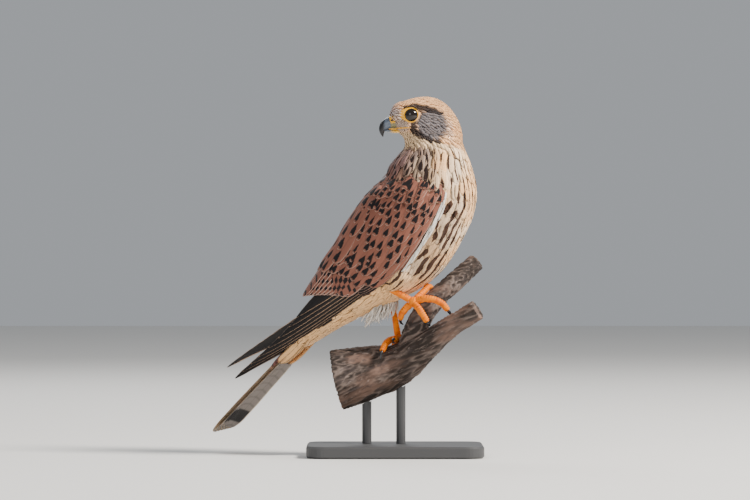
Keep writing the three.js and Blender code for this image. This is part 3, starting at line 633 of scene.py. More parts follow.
def look_of(points):
    """The head's look above, the body's below, and a blend where they meet."""
    share = smooth(256, 264, points[:, 2])
    head, body = head_look(points), body_look(points)
    mixed = [blend(b, h, share) for h, b in zip(head, body)]
    mixed[2][:, 1] = np.where(share > 0.3, STREAK, body[2][:, 1])
    return mixed


# Skin: head, neck, torso and thighs as one surface, a coat's depth inside the solids
SKIN_NODES = ("head", "neck", "torso", "thigh_left", "thigh_right")
SKIN_VOXEL = 0.0014
# In millimetres: how far the shells swell so that they join, and how deep the skin then lies
SKIN_SWELL = 0.6
COAT_DEPTH = 1.5


def joined_copy(name, nodes):
    graph = bpy.context.evaluated_depsgraph_get()
    made = bmesh.new()
    for node in nodes:
        made.from_object(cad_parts[node], graph)
    mesh = bpy.data.meshes.new(name)
    made.to_mesh(mesh)
    made.free()
    return linked(name, mesh)


def apply_modifiers(piece):
    graph = bpy.context.evaluated_depsgraph_get()
    mesh = bpy.data.meshes.new_from_object(piece.evaluated_get(graph))
    piece.modifiers.clear()
    piece.data = mesh


def remeshed(piece, voxel, smoothing, swell=0.0):
    """One skin over a piece's shells; swell first, so that the gaps between them close."""
    if swell:
        push = piece.modifiers.new("swell", "DISPLACE")
        push.strength = swell
        push.mid_level = 0.0
    remesh = piece.modifiers.new("remesh", "REMESH")
    remesh.voxel_size = voxel
    remesh.use_smooth_shade = True
    even = piece.modifiers.new("smooth", "SMOOTH")
    even.iterations = smoothing
    even.factor = 0.5
    apply_modifiers(piece)


def coordinates(mesh):
    values = np.empty(len(mesh.vertices) * 3)
    mesh.vertices.foreach_get("co", values)
    return values.reshape(-1, 3)


def vertex_normals(mesh):
    values = np.empty(len(mesh.vertices) * 3)
    mesh.vertices.foreach_get("normal", values)
    return values.reshape(-1, 3)


skin = joined_copy("skin", SKIN_NODES)
weld = skin.modifiers.new("weld", "WELD")
weld.merge_threshold = 0.01 * MM
remeshed(skin, SKIN_VOXEL, 12, swell=SKIN_SWELL * MM)
inward = coordinates(skin.data) - vertex_normals(skin.data) * (COAT_DEPTH + SKIN_SWELL) * MM
skin.data.vertices.foreach_set("co", inward.ravel())
skin.data.update()
for item in bpy.context.selected_objects:
    item.select_set(False)
bpy.context.view_layer.objects.active = skin
skin.select_set(True)
bpy.ops.object.mode_set(mode="EDIT")
bpy.ops.mesh.select_all(action="SELECT")
bpy.ops.uv.smart_project(angle_limit=66 * DEGREE, island_margin=0.004)
bpy.ops.object.mode_set(mode="OBJECT")
skin.data.uv_layers[0].name = "OFBake"
skin_points = coordinates(skin.data) / MM
skin_look = look_of(skin_points)
store(skin.data, "ground", skin_look[0])
skin_shade = Shade("skin_down", 0.8, sheen=0.1, specular=0.2)
skin_speckle = skin_shade.times(skin_shade.noise(500.0, 4.0), 0.3)
skin_shade.paint(skin_shade.mix(skin_speckle, skin_shade.attribute("ground"), (0.25, 0.17, 0.11)))
skin_shade.bump(skin_shade.noise(1400.0, 3.0), 0.5, 0.0004)
skin.data.materials.clear()
skin.data.materials.append(skin_shade.material)
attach(skin, "root")
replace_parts(skin, *SKIN_NODES)


class SkinGround:
    """Samples of the skin: places, normals, nearest points and the map's places."""

    def __init__(self, piece):
        mesh = piece.data
        mesh.calc_loop_triangles()
        count = len(mesh.loop_triangles)
        corners, loops = np.empty(count * 3, int), np.empty(count * 3, int)
        mesh.loop_triangles.foreach_get("vertices", corners)
        mesh.loop_triangles.foreach_get("loops", loops)
        uv = np.empty(len(mesh.loops) * 2)
        mesh.uv_layers["OFBake"].data.foreach_get("uv", uv)
        points = coordinates(mesh) / MM
        self.corners = points[corners.reshape(-1, 3)]
        self.normals = vertex_normals(mesh)[corners.reshape(-1, 3)]
        self.uv = uv.reshape(-1, 2)[loops.reshape(-1, 3)]
        self.tree = BVHTree.FromPolygons(points.tolist(), corners.reshape(-1, 3).tolist())

    def scatter(self, count):
        a, b, c = (self.corners[:, k] for k in range(3))
        area = np.linalg.norm(np.cross(b - a, c - a), axis=1)
        chosen = random.choice(len(area), count, p=area / area.sum())
        r, s = np.sqrt(random.random(count)), random.random(count)
        weights = np.stack([1 - r, r * (1 - s), r * s], -1)[..., None]
        return [(values[chosen] * weights).sum(axis=1) for values in (self.corners, self.normals, self.uv)]

    def nearest(self, points):
        place, normal = np.empty_like(points), np.empty_like(points)
        for k, point in enumerate(points):
            found = self.tree.find_nearest(Vector(point))
            place[k], normal[k] = found[0], found[1]
        return place, normal


def thinned(points, spacing):
    """Keeps places at least their own spacing apart."""
    cell = spacing.min()
    kept, grid = [], {}
    for k, (point, gap) in enumerate(zip(points, spacing)):
        x, y, z = (int(v) for v in np.floor(point / cell))
        reach = math.ceil(gap / cell)
        around = range(-reach, reach + 1)
        near = (grid.get((x + i, y + j, z + m)) for i in around for j in around for m in around)
        if not any(other is not None and ((points[other] - point) ** 2).sum() < gap * gap for other in near):
            grid[(x, y, z)] = k
            kept.append(k)
    return np.array(kept)


# Small feathers of the head, neck, body and thighs
GROUND = SkinGround(skin)
# Places down the middle of each thigh: x, y and z
THIGHS = {
    RIGHT: np.array([[12, -20, 168], [5, -23, 155], [-2, -21, 145.5], [-3.6, -19, 141.5]]),
    LEFT: np.array([[8, 20, 166], [2, 19, 152], [-2, 13, 140], [-2.6, 10.6, 134.6]]),
}
THIGH_REACH = 15.0
# Round the eye: where it is, its size, the bare ring of its lid and the bare skin ahead of it
EYE_PLACE = {side: np.array([15.8, 11.4 * side, 3.9]) for side in (RIGHT, LEFT)}
EYE_RADIUS = 6.5
RING_RADIUS = 5.75
BARE_SKIN = np.array([6.5, 0.0, 0.3])
BARE_RADIUS = 4.6
BILL_BASE = np.array([33.0, 0.0, -3.5])
BILL_BARE = 4.2
FOREHEAD_LIFT = 2.7
# The share of its length at which a feather shows, so where its colours are looked up
SHOWN_AT = 0.62
BODY_SPACING, HEAD_SPACING = 3.7, 1.6


def thigh_share(points):
    """How near places are to a thigh, and the way down it."""
    share, way = np.zeros(len(points)), np.zeros_like(points)
    for line in THIGHS.values():
        for a, b in zip(line[:-1], line[1:]):
            run = b - a
            s = np.clip((points - a) @ run / (run @ run), 0, 1)
            away = np.linalg.norm(points - a - s[:, None] * run, axis=1)
            closer = smooth(THIGH_REACH, THIGH_REACH * 0.6, away) * smooth(170, 158, points[:, 2])
            nearer = closer > share
            way[nearer] = unit(run)
            share = np.maximum(share, closer)
    return share, way


def lie_of(points, normals):
    """The way the coat lies at each place, along the skin."""
    _, _, axis = BODY_PLACES.find(points)
    forward, side, up = head_place(points)
    head_way = -HEAD_FORWARD - UP * (0.25 + 0.5 * smooth(10, -12, up))[:, None]
    spot = np.stack([forward, side, up], -1)
    for place in EYE_PLACE.values():
        away = spot - place
        near = np.exp(-(np.linalg.norm(away, axis=1) / 9.0) ** 2)[:, None]
        world = away[:, :1] * HEAD_FORWARD + away[:, 1:2] * HEAD_RIGHT + away[:, 2:] * UP
        head_way = head_way + 0.9 * near * unit(world) * smooth(0, 6, np.abs(away[:, 2]))[:, None]
    share = smooth(252, 276, points[:, 2])[:, None]
    way = axis * (1 - share) + head_way * share
    leg, leg_way = thigh_share(points)
    way = way * (1 - leg[:, None]) + leg_way * leg[:, None]
    return unit(way - normals * np.sum(way * normals, axis=1, keepdims=True))


def spacing_of(points):
    """How far apart the coat's feathers stand: wider on the flanks, closer to the bill and feet."""
    forward, _, _ = head_place(points)
    share = smooth(255, 272, points[:, 2])
    face = smooth(6, 22, forward)
    at, angle, _ = BODY_PLACES.find(points)
    turn = np.abs(np.degrees(angle))
    flanks = 0.7 * smooth(70, 95, turn) * smooth(172, 150, turn)
    body = BODY_SPACING + flanks - 0.6 * smooth(5.5, 8, at)
    leg, _ = thigh_share(points)
    body = body * (1 - 0.35 * leg)
    return body * (1 - share) + (HEAD_SPACING - 0.5 * face) * share


def bare(points):
    """Places with no feathers: the eyes with their rings, the bill's base and the mouth."""
    spot = np.stack(head_place(points), -1)
    hidden = np.zeros(len(points), bool)
    for place in EYE_PLACE.values():
        hidden |= np.linalg.norm(spot - place, axis=1) < EYE_RADIUS + 1.0
        hidden |= np.linalg.norm(spot - place - BARE_SKIN, axis=1) < BARE_RADIUS
    return hidden | (np.linalg.norm(spot - BILL_BASE, axis=1) < BILL_BARE)


def coat(piece, roots, normals, places, length, width, lift, look, calm):
    """Lays feathers from their roots along the skin, each over the ones behind it."""
    count = len(roots)
    way = lie_of(roots, normals)
    side = unit(np.cross(normals, way))
    way = unit(way + side * random.normal(0, COAT_SWERVE * calm, (count, 1)))
    middle, middle_normal = GROUND.nearest(roots + way * (0.5 * length)[:, None])
    way_on = lie_of(middle, middle_normal)
    tip, tip_normal = GROUND.nearest(middle + unit(way + way_on) * (0.5 * length)[:, None])
    low, mid, high = lift
    forward, _, up = head_place(roots)
    fuller = FOREHEAD_LIFT * smooth(20, 27, forward) * smooth(-1, 4, up) * smooth(17, 9, up)
    jitter = random.uniform(0.88, 1.12, count)
    path = np.stack([roots + normals * (low + 0.6 * fuller)[:, None],
                     middle + middle_normal * (mid * jitter + fuller)[:, None],
                     tip + tip_normal * (high * jitter + 0.7 * fuller)[:, None]], 1)
    path_normals = np.stack([normals, middle_normal, tip_normal], 1)
    ground, mark, pattern, edge = look
    shade = random.normal(1, 0.07, (count, 1))
    pattern[:, 0] *= random.uniform(0.7, 1.25, count)
    piece.add(path, path_normals, width, (ground * shade, mark, pattern, edge * shade), places,
              ragged=0.025, cant=random.normal(0, COAT_CANT * calm, count))


COAT_SAMPLES = 90000
COAT_SWERVE = 0.14
COAT_CANT = 0.07
roots, normals, places = GROUND.scatter(COAT_SAMPLES)
kept = ~bare(roots)
roots, normals, places = roots[kept], normals[kept], places[kept]
spacing = spacing_of(roots)
kept = thinned(roots, spacing)
roots, normals, places, spacing = roots[kept], unit(normals[kept]), places[kept], spacing[kept]
head_share = smooth(256, 268, roots[:, 2])
length = spacing * (4.0 - 0.4 * head_share)
width = spacing * (1.7 - 0.25 * head_share)
station, turn, _ = BODY_PLACES.find(roots)
turn = np.abs(turn) / DEGREE
cape = smooth(1.1, 1.9, station) * smooth(3.4, 2.8, station) * smooth(12, 28, turn) * smooth(128, 108, turn)
length = length * (1 + 0.3 * cape)
look = look_of(roots + lie_of(roots, normals) * (SHOWN_AT * length)[:, None])

head_coat = Feathers("coat_head", "buff_feather", 4, 2, SOFT_TIP, 0.08)
body_coat = Feathers("coat_body", "buff_feather", 6, 4, ROUND_TIP, 0.1)
belly_coat = Feathers("coat_belly", "buff_feather", 6, 4, ROUND_TIP, 0.1)

# Loose white fluff that hangs below the belly
FLUFF_SAMPLES, FLUFF_COUNT = 30000, 260
FLUFF_PLACE = on_body(-11.0, -4.0, 127.0)
FLUFF_RADIUS = 13
fluff_roots, fluff_normals, fluff_places = GROUND.scatter(FLUFF_SAMPLES)
close = np.linalg.norm(fluff_roots - FLUFF_PLACE, axis=1) < FLUFF_RADIUS
chosen = np.flatnonzero(close & (fluff_normals[:, 2] < -0.1))[:FLUFF_COUNT]
fluff_roots, count = fluff_roots[chosen], len(chosen)
fluff = Feathers("coat_fluff", "buff_feather", 8, 2, POINTED_TIP, 0.06)
fall = unit(np.array([-0.5, 0.0, -1.0]) + random.normal(0, 0.22, (count, 3)))
fall = fall * random.uniform(8, 17, (count, 1))
bend = random.normal(0, 1.3, (count, 3))
fluff_path = np.stack([fluff_roots, fluff_roots + fall * 0.5 + bend, fluff_roots + fall], 1)
facing = unit(random.normal(0, 1, (count, 3)) + BODY_RIGHT * 1.2)
fluff.add(fluff_path, np.stack([facing] * 3, 1), random.uniform(1.2, 2.2, count),
          (WHITE, WHITE, (0, 0, 0), WHITE), fluff_places[chosen], ragged=0.05)

HEAD_FROM, BELLY_TO = 262, 196
body_coat.lanes = belly_coat.lanes = lanes_of
head_part = roots[:, 2] > HEAD_FROM
belly_part = ~head_part & (roots[:, 2] < BELLY_TO)
body_part = ~head_part & ~belly_part
body_rise = cape[body_part]
for piece, part, lift, calm in (
        (head_coat, head_part, (0.05, 0.5, 0.45), 0.4),
        (body_coat, body_part, (0.2, 1.3 + 1.8 * body_rise, 1.2 + 3.6 * body_rise), 1.0),
        (belly_coat, belly_part, (0.2, 1.1, 1.0), 0.5)):
    coat(piece, roots[part], normals[part], places[part], length[part], width[part], lift,
         [values[part] for values in look], calm)

# Wings. Rows of the tables are station and angle of the root, then of the tip, and half the width.
PRIMARIES = np.array([
    [4.2, 124, 9.6, 128, 6], [4.0, 120, 11.0, 110, 7], [3.9, 115, 10.5, 96, 7.5],
    [3.8, 110, 9.9, 86, 8], [3.7, 105, 9.3, 76, 8], [3.6, 100, 8.6, 68, 8], [3.5, 95, 7.9, 60, 8],
])
SECONDARIES = np.array([
    [3.0, 98, 5.9, 96, 8], [2.9, 88, 6.1, 84, 8], [2.8, 78, 6.3, 72, 8], [2.7, 67, 6.55, 60, 8],
    [2.6, 56, 6.85, 46, 8], [2.5, 44, 7.1, 32, 8],
])
PRIMARY_COUNT, SECONDARY_COUNT = 10, 11
COVERT_ROWS, SCAPULAR_ROWS, EDGE_ROWS = 13, 9, 20
COVERTS_IN_ROW, SCAPULARS_IN_ROW = 9, 4
VANE_SHARE = 0.85
WING_LIFT = 7.0
FIRST_STATION = 0.05


def wing_ground(side):
    sections = WING_SECTIONS.copy()
    if side == LEFT:
        sections[:, :2] += FAR_WING_SHIFT
    return Ground(sections, side)


def rows_of(count, ground, mark, size, kind, fringe, edge):
    """The look of count feathers that differ a little in tone and in the size of their mark."""
    shade = random.normal(1, 0.05, (count, 1))
    pattern = np.tile([size, kind, fringe], (count, 1))
    pattern[:, 0] *= random.uniform(0.65, 1.3, count)
    return [np.tile(ground, (count, 1)) * shade, np.tile(mark, (count, 1)), pattern,
            np.tile(edge, (count, 1)) * shade]


def tiers(count):
    """For each of count rows of feathers: 0 or 1 by turns, and how far down the rows it is."""
    return [(k % 2, k / (count - 1)) for k in range(count)]


def rufous(count, size, fringe):
    return rows_of(count, RUFOUS, SPOT, size, TRIANGLE, fringe, RUFOUS_EDGE)


def flight_feathers(piece, surface, table, count, lift_root, lift_tip, look):
    """Long feathers between the rows of a table. A lift is the first one's, and what each adds."""
    k = np.linspace(0, len(table) - 1, count)
    row = between(table, k)
    start = (row[:, 0], row[:, 1] * DEGREE)
    end = (row[:, 2] - 0.05, row[:, 3] * DEGREE)
    path, normal = laid(surface, piece.steps(), start, end, lift_root[0] + lift_root[1] * k,
                        lift_tip[0] + lift_tip[1] * k)
    piece.add(path, normal, row[:, 4] * 2 * VANE_SHARE, look, piece.reserve(count), camber=0.05)


def wing_rise(at, angle):
    """How far the coverts stand above the wing's ground: none at the shoulder, less at the front."""
    turn = angle / DEGREE
    back = 0.45 + 0.55 * smooth(0, 48, turn)
    return WING_LIFT * smooth(-0.5, 1.7, at) * (1 - 0.45 * smooth(100, 132, turn)) * back - 0.5


def covert_tier(piece, surface, count, tip_at, reach, angles, width, look, stagger=0.0, slant=0.0,
                raised=0.0, jitter=0.05):
    """A row of coverts: station of the tips, reach in stations, angles from first to last."""
    s = (np.arange(count) + 0.5 * stagger) / max(count - 1, 1)
    angle = (angles[0] + (angles[1] - angles[0]) * s + random.normal(0, 1.2, count)) * DEGREE
    end = tip_at + slant * s + random.normal(0, jitter, count)
    at = np.maximum(end - reach * random.normal(1, 0.06, count), FIRST_STATION)
    path, normal = laid(surface, piece.steps(), (at, angle), (end, angle),
                        wing_rise(at, angle) - 1.0 + raised, wing_rise(end, angle) + 0.3 + raised)
    piece.add(path, normal, width * random.normal(1, 0.05, count), look, piece.reserve(count),
              camber=0.09, cant=random.normal(0, 0.03, count))


for side, name in SIDES:
    surface = wing_ground(side)
    rim, rim_width = (FLIGHT_EDGE, 0.09) if side == RIGHT else (FLIGHT_EDGE * 1.5, 0.14)
    primaries = Feathers(f"vanes_{name}_primaries", "flight_feather", 26, 8, POINTED_TIP, 0.3, 4)
    flight_feathers(primaries, surface, PRIMARIES, PRIMARY_COUNT, (0.7, 0.2), (0.8, 0.42),
                    rows_of(PRIMARY_COUNT, FLIGHT, SPOT, 0.0, STREAK, rim_width, rim))
    secondaries = Feathers(f"vanes_{name}_secondaries", "rufous_feather", 22, 8, SQUARE_TIP, 0.3, 4)
    flight_feathers(secondaries, surface, SECONDARIES, SECONDARY_COUNT, (2.8, 0.1), (4.2, 0.26),
                    rows_of(SECONDARY_COUNT, RUFOUS * 0.95, SPOT, 0.42, BARS, 0.14, RUFOUS_EDGE * 1.25))
    coverts = Feathers(f"coat_{name}_wing", "rufous_feather", 10, 6, ROUND_TIP, 0.2, 20)
    covert_tier(coverts, surface, 8, 5.6, 2.4, (124, 98), 9.5,
                rows_of(8, FLIGHT * 1.3, SPOT, 0.0, STREAK, 0.14, RUFOUS_EDGE), slant=-0.3, raised=-3.2)
    covert_tier(coverts, surface, 9, 4.5, 2.0, (123, 104), 7.0, rufous(9, 0.4, 0.12),
                slant=-0.2, raised=-0.8)
    for stagger, s in tiers(COVERT_ROWS):
        covert_tier(coverts, surface, COVERTS_IN_ROW, 4.95 - 4.4 * s ** 0.93, 1.75 - 0.75 * s,
                    (116 + 7 * s, 44 + 14 * s), 10.6 - 2.8 * s,
                    rufous(COVERTS_IN_ROW, 0.78 - 0.12 * s, 0.16 - 0.04 * s),
                    stagger=stagger, slant=0.25 * (1 - s), jitter=0.08)
    for stagger, s in tiers(SCAPULAR_ROWS):
        covert_tier(coverts, surface, SCAPULARS_IN_ROW, 5.7 - 4.9 * s, 2.1 - 0.8 * s,
                    (6, 47 + 26 * smooth(0.55, 1, s)), 14 - 2.5 * s,
                    rufous(SCAPULARS_IN_ROW, 0.8, 0.12),
                    stagger=stagger, raised=1.1 - 0.9 * s, slant=-0.35)
    for _, s in tiers(EDGE_ROWS):
        covert_tier(coverts, surface, 1, 4.3 - 3.2 * s, 0.7, (129, 129), 1.7,
                    rows_of(1, WHITE * 0.9, SPOT, 0.0, STREAK, 0.0, WHITE * 0.9), raised=0.3, jitter=0.02)

# Tail: twelve feathers that lie over one another, the middle pair on top
TAIL_ROOT, TAIL_TIP = np.array([-86.5, 96.5]), np.array([-167.5, 16.5])
TAIL_ROLL = 4 * DEGREE
TAIL_PAIRS = 6
TAIL_HALF = 8.6
TAIL_BROWN, TAIL_EDGE = [0.36, 0.18, 0.11], [0.80, 0.56, 0.33]
# From one pair to the next: shorter, lower and turned out
PAIR_SHORTER, PAIR_LOWER, PAIR_LEAN = 1.8, 0.36, 3.5 * DEGREE


def tail_axes():
    start = on_body(TAIL_ROOT[0], 0.0, TAIL_ROOT[1])
    run = on_body(TAIL_TIP[0], 0.0, TAIL_TIP[1]) - start
    along = unit(run)
    cos, sin = math.cos(TAIL_ROLL), math.sin(TAIL_ROLL)
    across = BODY_RIGHT * cos + np.cross(along, BODY_RIGHT) * sin
    up = unit(np.cross(across, along))
    return start, along, across, up * np.sign(up[2]), np.linalg.norm(run)


tail_start, tail_along, tail_across, tail_up, tail_length = tail_axes()
tail = Feathers("vanes_tail", "tail_feather", 30, 8, SQUARE_TIP, 0.35, 4)
steps = tail.steps()
for pair in range(TAIL_PAIRS):
    for side in (RIGHT, LEFT):
        length = tail_length - PAIR_SHORTER * pair - (0.6 if side == RIGHT else 0)
        down = 2.1 - (2 * pair + (side != RIGHT)) * PAIR_LOWER
        reach = 1 + (length - 1) * steps
        out = side * (1.1 + 0.95 * steps) * (pair + 0.5) * 0.83
        path = (tail_start + tail_along * reach[:, None] + tail_across * out[:, None]
                + tail_up * (down + 0.5 * np.sin(np.pi * steps))[:, None])
        lean = side * pair * PAIR_LEAN
        normal = tail_up * math.cos(lean) + tail_across * math.sin(lean)
        tail.add(path[None], np.tile(normal, (1, len(steps), 1)), np.array([2 * TAIL_HALF]),
                 rows_of(1, TAIL_BROWN, SPOT, 0.3, BARS, 0.1, TAIL_EDGE), tail.reserve(1), camber=0.03)

# Feathers over the root of the tail, above and below
TAIL_COVERT_ROWS, TAIL_COVERTS_IN_ROW, TAIL_COVERT_WIDTH = 6, 6, 8.5
tail_coverts = Feathers("coat_tail_coverts", "buff_feather", 10, 6, ROUND_TIP, 0.2, 9)
for below in (False, True):
    for _, s in tiers(TAIL_COVERT_ROWS):
        widest = 72 if below else 40
        angle = np.linspace(-widest, widest, TAIL_COVERTS_IN_ROW) * DEGREE
        cos, sin = np.cos(angle), np.sin(angle)
        ring = tail_across * sin[:, None] * (10.5 if below else 12 - 2 * s)
        rise = 3.0 + 3.0 * cos if below else cos * (5.0 + 1.5 * s) - 1.0
        out = -tail_up if below else tail_up
        first = (-7 if below else 10) - 22 * s
        root = tail_start + tail_along * first + ring + out * (rise - 1.5)[:, None]
        reach = 32 - 8 * s
        middle = root + tail_along * reach * 0.5 + out
        tip = root + tail_along * reach - out * (0.8 + 1.2 * cos)[:, None]
        normal = unit(out * cos[:, None] + tail_across * sin[:, None])
        colour = BELLY if below else RUFOUS * np.array([0.85, 0.9, 1.1])
        size, kind = (0.0, STREAK) if below else (0.35, BARS)
        path, normals = np.stack([root, middle, tip], 1), np.stack([normal] * 3, 1)
        tail_coverts.add(path, normals, np.full(len(angle), TAIL_COVERT_WIDTH),
                         rows_of(len(angle), colour, SPOT, size, kind, 0.06, colour * 1.2),
                         tail_coverts.reserve(len(angle)), camber=0.1)

small_plumage = plumage("plumage_small", 5.0, barbs=4.0)
covert_plumage = plumage("plumage_covert", 10.0, barbs=7.0, period=1.1)
flight_plumage = plumage("plumage_flight", 40.0, period=1.45, roughness=0.5, under_grey=0.12)
tail_plumage = plumage("plumage_tail", 40.0, roughness=0.5, under_grey=0.95, band=(1.0, 2.6))
for name, piece in COATS.items():
    if name in ("coat_head", "coat_body", "coat_belly", "coat_fluff"):
        piece.build(small_plumage)
    elif name == "vanes_tail":
        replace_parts(piece.build(tail_plumage), "tail")
    elif name.startswith("vanes"):
        made = piece.build(flight_plumage)
        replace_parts(made, name.replace("vanes_", "wing_"))
    else:
        made = piece.build(covert_plumage)
        if name.endswith("_wing"):
            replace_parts(made, "wing_" + name.split("_")[1] + "_arm")


# Hard parts: bill, cere, eyes, feet and claws
def surface_piece(name, rings, material):
    """A smooth skin over rings of places in millimetres, with its ends closed."""
    rings = np.asarray(rings)
    count, size = rings.shape[:2]
    faces = []
    for i in range(count - 1):
        for j in range(size):
            k = (j + 1) % size
            faces.append([i * size + j, i * size + k, (i + 1) * size + k, (i + 1) * size + j])
    faces.append(list(range(size))[::-1])
    faces.append([(count - 1) * size + j for j in range(size)])
    mesh = bpy.data.meshes.new(name)
    mesh.from_pydata((rings.reshape(-1, 3) * MM).tolist(), [], faces)
    made = bmesh.new()
    made.from_mesh(mesh)
    bmesh.ops.recalc_face_normals(made, faces=made.faces)
    made.to_mesh(mesh)
    made.free()
    mesh.polygons.foreach_set("use_smooth", np.ones(len(mesh.polygons), bool))
    mesh.materials.append(material)
    piece = linked(name, mesh)
    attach(piece, "root")
    return piece


def bill_rings(table, rows, sides, grow=0.0, end=None):
    """Rings of a bill from rows of forward, up, half height, half breadth and dip."""
    last = len(table) - 1 if end is None else end
    turn = circle(sides)
    rings = []
    for forward, up, high, broad, dip in between(np.array(table, float), np.linspace(0, last, rows)):
        rise = np.cos(turn) * (high + grow)
        side = np.sin(turn) * (broad + grow) * (1 - 0.12 * np.cos(turn))
        dip = dip * DEGREE
        rings.append(on_head(forward + rise * math.sin(dip), side, up + rise * math.cos(dip)))
    return rings


UPPER_BILL = [
    [28.0, -2.2, 5.5, 6.8, 0], [31.3, -2.3, 5.5, 6.2, 3], [34.6, -3.2, 5.0, 5.2, 18],
    [37.6, -5.6, 4.1, 4.0, 44], [39.2, -8.8, 2.6, 2.6, 74], [39.0, -11.8, 1.4, 1.45, 98],
    [38.3, -14.2, 0.3, 0.35, 110],
]
LOWER_BILL = [
    [25.2, -9.3, 1.7, 5.4, -4], [27.2, -9.3, 1.7, 5.2, -4], [31.5, -9.4, 1.5, 4.4, 0],
    [35.2, -9.2, 1.2, 2.8, 4], [37, -8.9, 0.5, 1.1, 8],
]
CERE_YELLOW = (0.88, 0.42, 0.0)
horn = Shade("bill_horn", 0.32)
horn_forward, _, horn_up = horn.split(horn.place())
horn_tip = horn.most(horn.step(0.2785, 0.2745, horn_up), horn.step(-0.0075, -0.0105, horn_forward))
horn.paint(horn.mix(horn_tip, (0.11, 0.135, 0.18), (0.008, 0.007, 0.009)))
horn.bump(horn.noise(900.0), 0.15, 0.0002)
low_horn = Shade("bill_low_horn", 0.35)
low_forward, _, _ = low_horn.split(low_horn.place())
low_horn.paint(low_horn.mix(low_horn.step(-0.0005, -0.0055, low_forward), (0.85, 0.47, 0.06),
                            (0.20, 0.23, 0.27)))
lid_skin = plain("cere_skin", CERE_YELLOW, 0.4)
lid_skin.bump(lid_skin.noise(1500.0, 3.0), 0.25, 0.0002)
cere_shade = Shade("cere_two_tone", 0.42)
cere_shade.paint(cere_shade.mix(cere_shade.attribute("yellow", "Fac"), (0.20, 0.18, 0.09), CERE_YELLOW))
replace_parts(surface_piece("bill_upper_horn", bill_rings(UPPER_BILL, 40, 28), horn.material),
            "bill_upper")
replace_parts(surface_piece("bill_lower_horn", bill_rings(LOWER_BILL, 20, 24), low_horn.material),
            "bill_lower")
cere = surface_piece("cere_soft", bill_rings(UPPER_BILL, 20, 36, 0.3, 1.5), cere_shade.material)
forward, _, up = head_place(coordinates(cere.data) / MM)
yellow_off = np.hypot((forward - 31.3) / 3.3, (up - 0.2) / 3.0)
store(cere.data, "yellow", smooth(1.15, 0.85, yellow_off))
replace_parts(cere, "cere")

# Nostrils: rings of depth and radius round a place in forward, side and up
NOSTRIL = (31.6, 5.9, -0.4)
NOSTRIL_RINGS = ((-1.2, 1.0), (0.3, 0.95), (0.34, 0.6))
NOSTRIL_LONG, NOSTRIL_HIGH = 1.15, 0.95
# Each nostril is a near-black plug: painted shade for the inside of its opening
dark = plain("nostril_dark", (0.02, 0.015, 0.012), 0.7)
turn = circle(16)
for side, name in SIDES:
    rings = [on_head(NOSTRIL[0] + NOSTRIL_LONG * radius * np.cos(turn), side * (NOSTRIL[1] + depth),
                     NOSTRIL[2] + NOSTRIL_HIGH * radius * np.sin(turn)) for depth, radius in NOSTRIL_RINGS]
    surface_piece(f"nostril_{name}", rings, dark.material)

# Corners of the mouth: forward, up and half thickness of a strip, and forward with half breadth
MOUTH_LINE = np.array([
    [34.2, -7.7, 0.3], [31, -7.8, 0.55], [27, -7.9, 0.6], [23, -8.1, 0.55], [19.5, -8.2, 0.25],
])
MOUTH_BROAD = np.array([[19.5, 17.5], [23, 14.0], [27, 8.4], [31, 6.0], [34.2, 5.0]])
gape_skin = plain("gape_skin", (0.80, 0.38, 0.03), 0.45)
turn = circle(12)
for side, name in SIDES:
    forward, up, half = between(MOUTH_LINE, np.linspace(0, 4, 26)).T
    given = on_head(forward, side * np.interp(forward, *MOUTH_BROAD.T), up)
    middle, outward = GROUND.nearest(given)
    share = smooth(29.5, 27.0, forward)[:, None]
    middle = middle * share + given * (1 - share)
    outward = unit(outward * share + HEAD_RIGHT * side * (1 - share))
    strip = [point + out * 0.5 + radius * (0.9 * out * np.cos(turn)[:, None] + UP * np.sin(turn)[:, None])
             for point, out, radius in zip(middle, outward, half)]
    surface_piece(f"gape_{name}", strip, gape_skin.material)

# Eyes: a glossy ball and a lid. The lid's ring is drawn out to a point, which is ahead of the left
# eye and behind the right one.
eye_glass = plain("eye_glass", (0.008, 0.005, 0.004), 0.05, coat=0.25, specular=0.4)
BALL_RADIUS = EYE_RADIUS - 0.12
EYE_LOOK_AHEAD = 0.25
LID_POINT, LID_BROAD, LID_INSET = 3.6, 1.6, 0.6


def eye_ring(side, radius, depth, turn):
    """A ring round the way that an eye looks, by its radius and depth."""
    out = unit(np.array([EYE_LOOK_AHEAD, side, 0.0]))
    ahead = unit(np.cross(UP, out))
    high = np.cross(out, ahead)
    around = ahead * np.cos(turn)[:, None] + high * np.sin(turn)[:, None]
    spot = EYE_PLACE[side] + out * np.reshape(depth, (-1, 1)) + np.reshape(radius, (-1, 1)) * around
    return on_head(*spot.T)


for side, name in SIDES:
    ball = [eye_ring(side, BALL_RADIUS * math.sin(p), BALL_RADIUS * math.cos(p), circle(48))
            for p in np.linspace(0.04, math.pi - 0.04, 30)]
    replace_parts(surface_piece(f"eye_{name}_ball", ball, eye_glass.material), f"eye_{name}")
    turn = circle(64)
    point = np.maximum(np.cos(turn + 0.12 * side), 0) ** 5 * LID_POINT
    lid = []
    for p in np.linspace(0, ONE_TURN, 15):
        outer = (1 + math.cos(p)) / 2
        radius = RING_RADIUS - LID_INSET + (LID_BROAD + point) * outer
        depth = 2.95 + 0.6 * math.sin(p) - 0.675 * outer - 0.12 * point
        lid.append(eye_ring(side, radius, depth, turn))
    surface_piece(f"eye_{name}_lid", lid, lid_skin.material)

